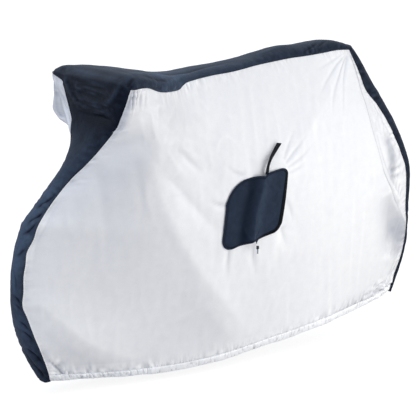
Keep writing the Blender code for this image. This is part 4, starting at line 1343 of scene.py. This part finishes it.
def besideFold(across, up):
    # how far behind the fold's line a point is, as a share of half the pouch's width
    line = pouchCut["foldLine"]
    return across - through(line[:, 0], line[:, 1:], up)[..., 0]


def pouchRise(across, up):
    # offset, the mountain fold along its line with a steep front flank, and a slight fullness
    aside = besideFold(across, up)
    width = np.where(aside < 0, pouchCut["ridgeFront"], pouchCut["ridgeRear"])
    fold = pouchCut["ridge"] * np.exp(-np.abs(aside / width) ** pouchCut["ridgePower"])
    depth, middle, troughWidth = pouchCut["trough"]
    fold = fold - depth * np.exp(-((aside - middle) / troughWidth) ** 2)
    full = pouchCut["fullness"] * np.maximum(1 - across ** 4, 0) * np.maximum(1 - up ** 4, 0)
    return pouchCut["offset"] + fold + full


def roundCorners(square):
    # a square's points moved so that its outline becomes a square with round corners: beyond the
    # corner's middle, an outline point goes to that middle plus the radius along its own direction
    size = np.max(np.abs(square), axis=-1, keepdims=True)
    radii = pouchCut["corners"]
    right = square[..., :1] > 0
    above = square[..., 1:] > 0
    corner = np.where(above, np.where(right, radii["upperRear"], radii["upperFront"]),
                      np.where(right, radii["lowerRear"], radii["lowerFront"]))
    flat = 1 - corner
    onEdge = square / np.maximum(size, 1e-9)
    inCorner = np.all(np.abs(onEdge) > flat, axis=-1, keepdims=True)
    centre = np.sign(square) * flat
    turned = centre + unit(onEdge - centre) * corner
    away = np.where(inCorner, unit(onEdge - centre), np.where(np.abs(onEdge) > 1 - 1e-9, np.sign(onEdge), 0))
    return np.where(inCorner, turned, onEdge) * size, away


def abovePanel(x, z, offset):
    # over the near panel's points (x, z), on most of its relief
    u, v = onPanel(x, z, "near")
    return panelPoint(u, v, "near", offset=offset, relief=pouchCut["panelShare"])


def pouch():
    # a grid with round corners laid over the panel by pouchRise(), with its wrinkles and pulls
    cut = pouchCut
    share = np.linspace(-1, 1, cut["steps"] + 1)
    place, _ = roundCorners(np.stack(np.meshgrid(share, share, indexing="ij"), -1))
    across, up = place[..., 0], place[..., 1]
    x, z = pouchPlace(across, up)
    rise, closeAcross, slant = cut["crinkle"]
    wrinkle = rise * creased(across * closeAcross + slant * up, up, 51)
    rise, closeAcross, closeUp = cut["wander"]
    wrinkle += rise * noise(across * closeAcross, up * closeUp, 53)
    pull = routeFolds(across, up, pouchFolds)
    edge = 1 - np.maximum(np.abs(across), np.abs(up))
    quiet = np.clip(edge / cut["edgeQuiet"], 0, 1)
    points, _ = abovePanel(x, z, pouchRise(across, up) + quiet * (wrinkle + pull))
    piece = surface("pouchCloth", toFrame(points, "near"), uvGrid(share / 2 + 0.5, share / 2 + 0.5),
                    finishes["navyPouch"], turned=True)
    aside = besideFold(across, up)
    # the pouch's tone is painted light: shade in front of its fold, highlight behind it, and on its pulls
    tone = cut["tone"] + sum(change * np.exp(-((aside - middle) / width) ** 2)
                             for middle, width, change in cut["shades"])
    giveTone(piece, tone * (1 + cut["pullTone"] * quiet * pull))
    giveThickness(piece, cut["thickness"])
    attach(piece, "root")
    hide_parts("pouch")


bindingCut = {
    "lap": 0.0030,              # how far it laps over the pouch
    "width": 0.0060,            # how far it reaches outside the pouch, front and top
    "zipWidth": 0.0085,         # added where the zip runs: down the rear,
    "zipTurn": (1.1, 1.5),      # once its edge has turned to the rear: gain and power,
    "zipRear": (-0.1, 1.1),     # fading from the middle to the top,
    "zipLow": (0.2, 0.8),       # and from here to there across the lower edge,
    "zipLowShare": 0.7,         # where it is narrower
    "tongue": 0.0125,           # where its ends are turned out under the slider,
    "tongueAt": 0.15,           # this far across,
    "tongueWidth": 0.035,       # and this wide, in shares of half the pouch
    "thick": 0.0016,            # half its thickness
    "halfSize": 0.119,          # of the pouch
    "stations": 360,
    "round": 16,
    "teeth": 360 / 5,           # how many round the outline
    "toothHeight": 0.0005,
    "toothSide": 0.3,           # they stand on its outer side, from this sine of the section's angle
    "raised": (0.0016, 0.35),   # its inner edge lies on the pouch's cloth: how high, over what share
    "zipDark": 2.5,             # the zip's tape is dark as soon as it shows,
    "stitchDark": (0.12, 0.14),     # and so is the stitched line on its inner edge: where, how wide
}


def pouchBinding():
    # an oval section carried round the pouch's outline, its width in the panel's plane
    cut = bindingCut
    turn = np.linspace(0, 2 * np.pi, cut["stations"], endpoint=False)
    square = np.stack([np.cos(turn), np.sin(turn)], -1)
    square = square / np.max(np.abs(square), axis=-1, keepdims=True)
    edge, away = roundCorners(square)
    alongRear = np.interp(edge[:, 1], cut["zipRear"], (1, 0))
    alongLow = np.interp(edge[:, 0], cut["zipLow"], (0, 1))
    gain, power = cut["zipTurn"]
    zipShare = np.clip(away[:, 0] * gain, 0, 1) ** power * alongRear
    zipShare = np.clip(zipShare + cut["zipLowShare"] * np.clip(-away[:, 1], 0, 1) * alongLow, 0, 1)
    tongue = np.clip(-away[:, 1], 0, 1) * np.exp(-((edge[:, 0] - cut["tongueAt"]) / cut["tongueWidth"]) ** 2)
    outerReach = cut["width"] + cut["zipWidth"] * zipShare + cut["tongue"] * tongue
    angle = np.linspace(0, 2 * np.pi, cut["round"], endpoint=False)
    share = 0.5 - 0.5 * np.cos(angle)
    reach = -cut["lap"] + (outerReach[:, None] + cut["lap"]) * share[None, :]
    ring = edge[:, None, :] + away[:, None, :] * (reach / cut["halfSize"])[..., None]
    x, z = pouchPlace(ring[..., 0], ring[..., 1])
    height, reachIn = cut["raised"]
    over = height * np.exp(-(share / reachIn) ** 2)
    thick = np.sin(angle) * cut["thick"]
    teeth = cut["toothHeight"] * np.cos(turn * cut["teeth"])[:, None] * zipShare[:, None]
    teeth = teeth * (np.sin(angle) > cut["toothSide"])[None, :]
    rise = pouchRise(np.clip(ring[..., 0], -1, 1), np.clip(ring[..., 1], -1, 1))
    points, _ = abovePanel(x, z, rise + over[None, :] + thick[None, :] + teeth)
    piece = surface("pouchBinding", toFrame(points, "near"), uvGrid(turn / (2 * np.pi), angle / (2 * np.pi)),
                    finishes["binding"], closedRows=True, closedColumns=True, turned=True)
    middle, wide = cut["stitchDark"]
    stitches = np.exp(-((share - middle) / wide) ** 2)
    giveTone(piece, 1 - np.clip(zipShare * cut["zipDark"], 0, 1)[:, None] - stitches[None, :])
    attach(piece, "root")
    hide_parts("pouch_binding")


pouch()
pouchBinding()

loopCut = {
    # x, z, off the panel, and the turn from edge-on (0) to flat (1 or -1)
    "route": np.array([
        (0.044, 0.6950, 0.0170, -0.12),
        (0.053, 0.7210, 0.0160, -0.18),
        (0.070, 0.7470, 0.0130, -0.12),
        (0.090, 0.7690, 0.0110, 0.02),
        (0.115, 0.7950, 0.0100, 0.12),
    ]),
    "width": 0.019,
    "gap": 0.0011,              # each layer's middle off the loop's middle
    "thickness": 0.0011,
    "steps": 90,                # along each layer,
    "bend": 9,                  # round the turn between them,
    "across": 12,               # and across the ribbon
    "bendReach": 1.2,           # how far the turn stands past the route's end, in gaps
    "flat": (0.019, 0.23),
}


def webbingLoop():
    # a ribbon that runs up the route, turns over a small half circle and runs back: the turn from
    # edge-on to flat swings the ribbon's width from the panel's normal into its plane
    cut = loopCut
    route = cut["route"]
    there = np.linspace(0, 1, cut["steps"])
    bend = np.linspace(-np.pi / 2, np.pi / 2, cut["bend"] + 2)[1:-1]
    t = np.concatenate([there, np.ones(cut["bend"]), there[::-1]])
    layer = np.concatenate([-np.ones(cut["steps"]), np.sin(bend), np.ones(cut["steps"])])
    past = np.concatenate([np.zeros(cut["steps"]), np.cos(bend), np.zeros(cut["steps"])])
    shares = chordShares(route, [0, 1])
    x, z, off, flat = np.moveaxis(through(shares, route, t), -1, 0)
    direction = unit(through(shares, np.gradient(route[:, :2], shares, axis=0), t))
    turn = flat * np.pi / 2
    share = np.linspace(-0.5, 0.5, cut["across"] + 1)
    inPlane = share[None, :] * cut["width"] * np.sin(turn)[:, None]
    inPlane = inPlane - (layer * cut["gap"] * np.cos(turn))[:, None]
    lift = off[:, None] + share[None, :] * cut["width"] * np.cos(turn)[:, None]
    lift = lift + (layer * cut["gap"] * np.sin(turn))[:, None]
    ahead = (past * cut["gap"] * cut["bendReach"])[:, None]
    x = x[:, None] + inPlane * direction[:, 1:2] + ahead * direction[:, 0:1]
    z = z[:, None] - inPlane * direction[:, 0:1] + ahead * direction[:, 1:2]
    points, _ = abovePanel(x, z, lift)
    along = np.linspace(0, 1, len(t))
    piece = surface("webbingLoop", toFrame(points, "near"), uvGrid(along, share + 0.5), finishes["webbing"])
    giveThickness(piece, cut["thickness"])
    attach(piece, "root")
    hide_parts("webbing_loop")


webbingLoop()
for node, metal in (("zip_slider", "slider"), ("zip_pull", "pull")):
    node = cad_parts[node]
    node.data.materials.clear()
    node.data.materials.append(metals[metal])
print("pouch sewn on")

studio = {
    "floorColour": (0.30, 0.302, 0.305),
    "floorGlow": 0.86,          # the floor is a pale light table, so shadows on it stay faint
    "floorSize": 80.0,
    "floorRoughness": 0.9,
    # the sky's colour away from the side the light comes from, across it and towards it, for the cloth's
    # body; and below, level and above, for its sheen
    "lightSide": (0.66, -0.68, 0.28),
    "sky": ((0.37, 0.41, 0.52), (0.78, 0.80, 0.87), (1.13, 1.12, 1.09)),
    "skySheen": ((0.08, 0.10, 0.13), (0.38, 0.42, 0.49), (0.78, 0.92, 1.12)),
    "backdrop": (1.0, 1.0, 1.0, 1.0),
    # soft boxes: name, place, aim, width and height, power, colour, and whether it shows in the sheen
    "boxes": (
        ("side box", (0.45, -1.65, -0.50), (0.20, 0.0, -0.50), (0.7, 0.7), 6.5, (1.0, 0.965, 0.91), False),
        ("low box", (0.40, -1.40, -0.98), (0.35, 0.0, -0.78), (0.9, 0.25), 4.0, (1.0, 0.965, 0.91), False),
        ("rear box", (2.00, -1.85, -0.50), (0.10, 0.0, -0.50), (0.9, 1.9), 4.5, (1.0, 0.97, 0.92), True),
    ),
    "camera": (-2.73, -3.53, 0.2915),
    "yaw": 32.5,
    "pitch": 11.8,
    "lens": 102.857,
    "sensorWidth": 36.0,
    "sight": 200.0,             # metres, to the floor's far end
}


def floorAndLight():
    # the sky's colour goes through three stops as the dot product of its direction and the light's grows
    # from -1 to 1, with stops of their own in the sheen, and the camera sees the backdrop instead
    half = studio["floorSize"] / 2
    z = -float(saddlePlace[2])
    mesh = bpy.data.meshes.new("floor")
    corners = [(-half, -half, z), (half, -half, z), (half, half, z), (-half, half, z)]
    mesh.from_pydata(corners, [], [(0, 1, 2, 3)])
    pale = newMaterial("pale floor", studio["floorColour"], studio["floorRoughness"], specular=0.0)
    shader = pale.node_tree.nodes["Principled BSDF"]
    shader.inputs["Emission Color"].default_value = (1.0, 1.0, 1.0, 1.0)
    shader.inputs["Emission Strength"].default_value = studio["floorGlow"]
    mesh.materials.append(pale)
    floor = bpy.data.objects.new("floor", mesh)
    bpy.context.scene.collection.objects.link(floor)
    floor.visible_diffuse = False       # it is seen, but sends no light up into the folds
    floor.visible_glossy = False
    world = bpy.data.worlds.new("soft studio")
    bpy.context.scene.world = world
    world.use_nodes = True
    tree = world.node_tree
    direction = addNode(tree, "ShaderNodeTexCoord")
    ray = addNode(tree, "ShaderNodeLightPath")
    skies = []
    for axis, colours in ((studio["lightSide"], studio["sky"]), ((0, 0, 1), studio["skySheen"])):
        facing = addNode(tree, "ShaderNodeVectorMath")
        facing.operation = "DOT_PRODUCT"
        facing.inputs[1].default_value = Vector(axis).normalized()
        link(tree, direction, "Generated", facing, 0)
        towards = remap(tree, (facing, "Value"), From_Min=-1.0)
        ramp = addNode(tree, "ShaderNodeValToRGB")
        ramp.color_ramp.elements.new(0.5)
        for element, colour in zip(ramp.color_ramp.elements, colours):
            element.color = (*colour, 1.0)
        link(tree, towards, "Result", ramp, "Fac")
        skies.append((ramp, "Color"))
    lit = mixColours(tree, (ray, "Is Glossy Ray"), *skies)
    shown = mixColours(tree, (ray, "Is Camera Ray"), lit, studio["backdrop"])
    link(tree, *shown, tree.nodes["Background"], "Color")
    for name, place, aim, size, power, colour, inSheen in studio["boxes"]:
        box = bpy.data.lights.new(name, "AREA")
        box.shape = "RECTANGLE"
        box.size, box.size_y = size
        box.energy = power
        box.color = colour
        boxObject = bpy.data.objects.new(name, box)
        bpy.context.scene.collection.objects.link(boxObject)
        boxObject.location = place
        boxObject.rotation_euler = (Vector(aim) - Vector(place)).to_track_quat("-Z", "Y").to_euler()
        boxObject.visible_camera = False
        boxObject.visible_glossy = inSheen


def camera():
    # turned by the yaw about the vertical, and tipped down by the pitch
    lens = bpy.data.cameras.new("camera")
    lens.lens = studio["lens"]
    lens.sensor_width = studio["sensorWidth"]
    lens.clip_end = studio["sight"]
    cameraObject = bpy.data.objects.new("camera", lens)
    bpy.context.scene.collection.objects.link(cameraObject)
    cameraObject.location = studio["camera"]
    cameraObject.rotation_euler = (math.radians(90 - studio["pitch"]), 0, math.radians(-studio["yaw"]))
    bpy.context.scene.camera = cameraObject


floorAndLight()
camera()
bpy.context.scene.view_settings.view_transform = "Standard"
print("studio ready")

bpy.context.view_layer.update()
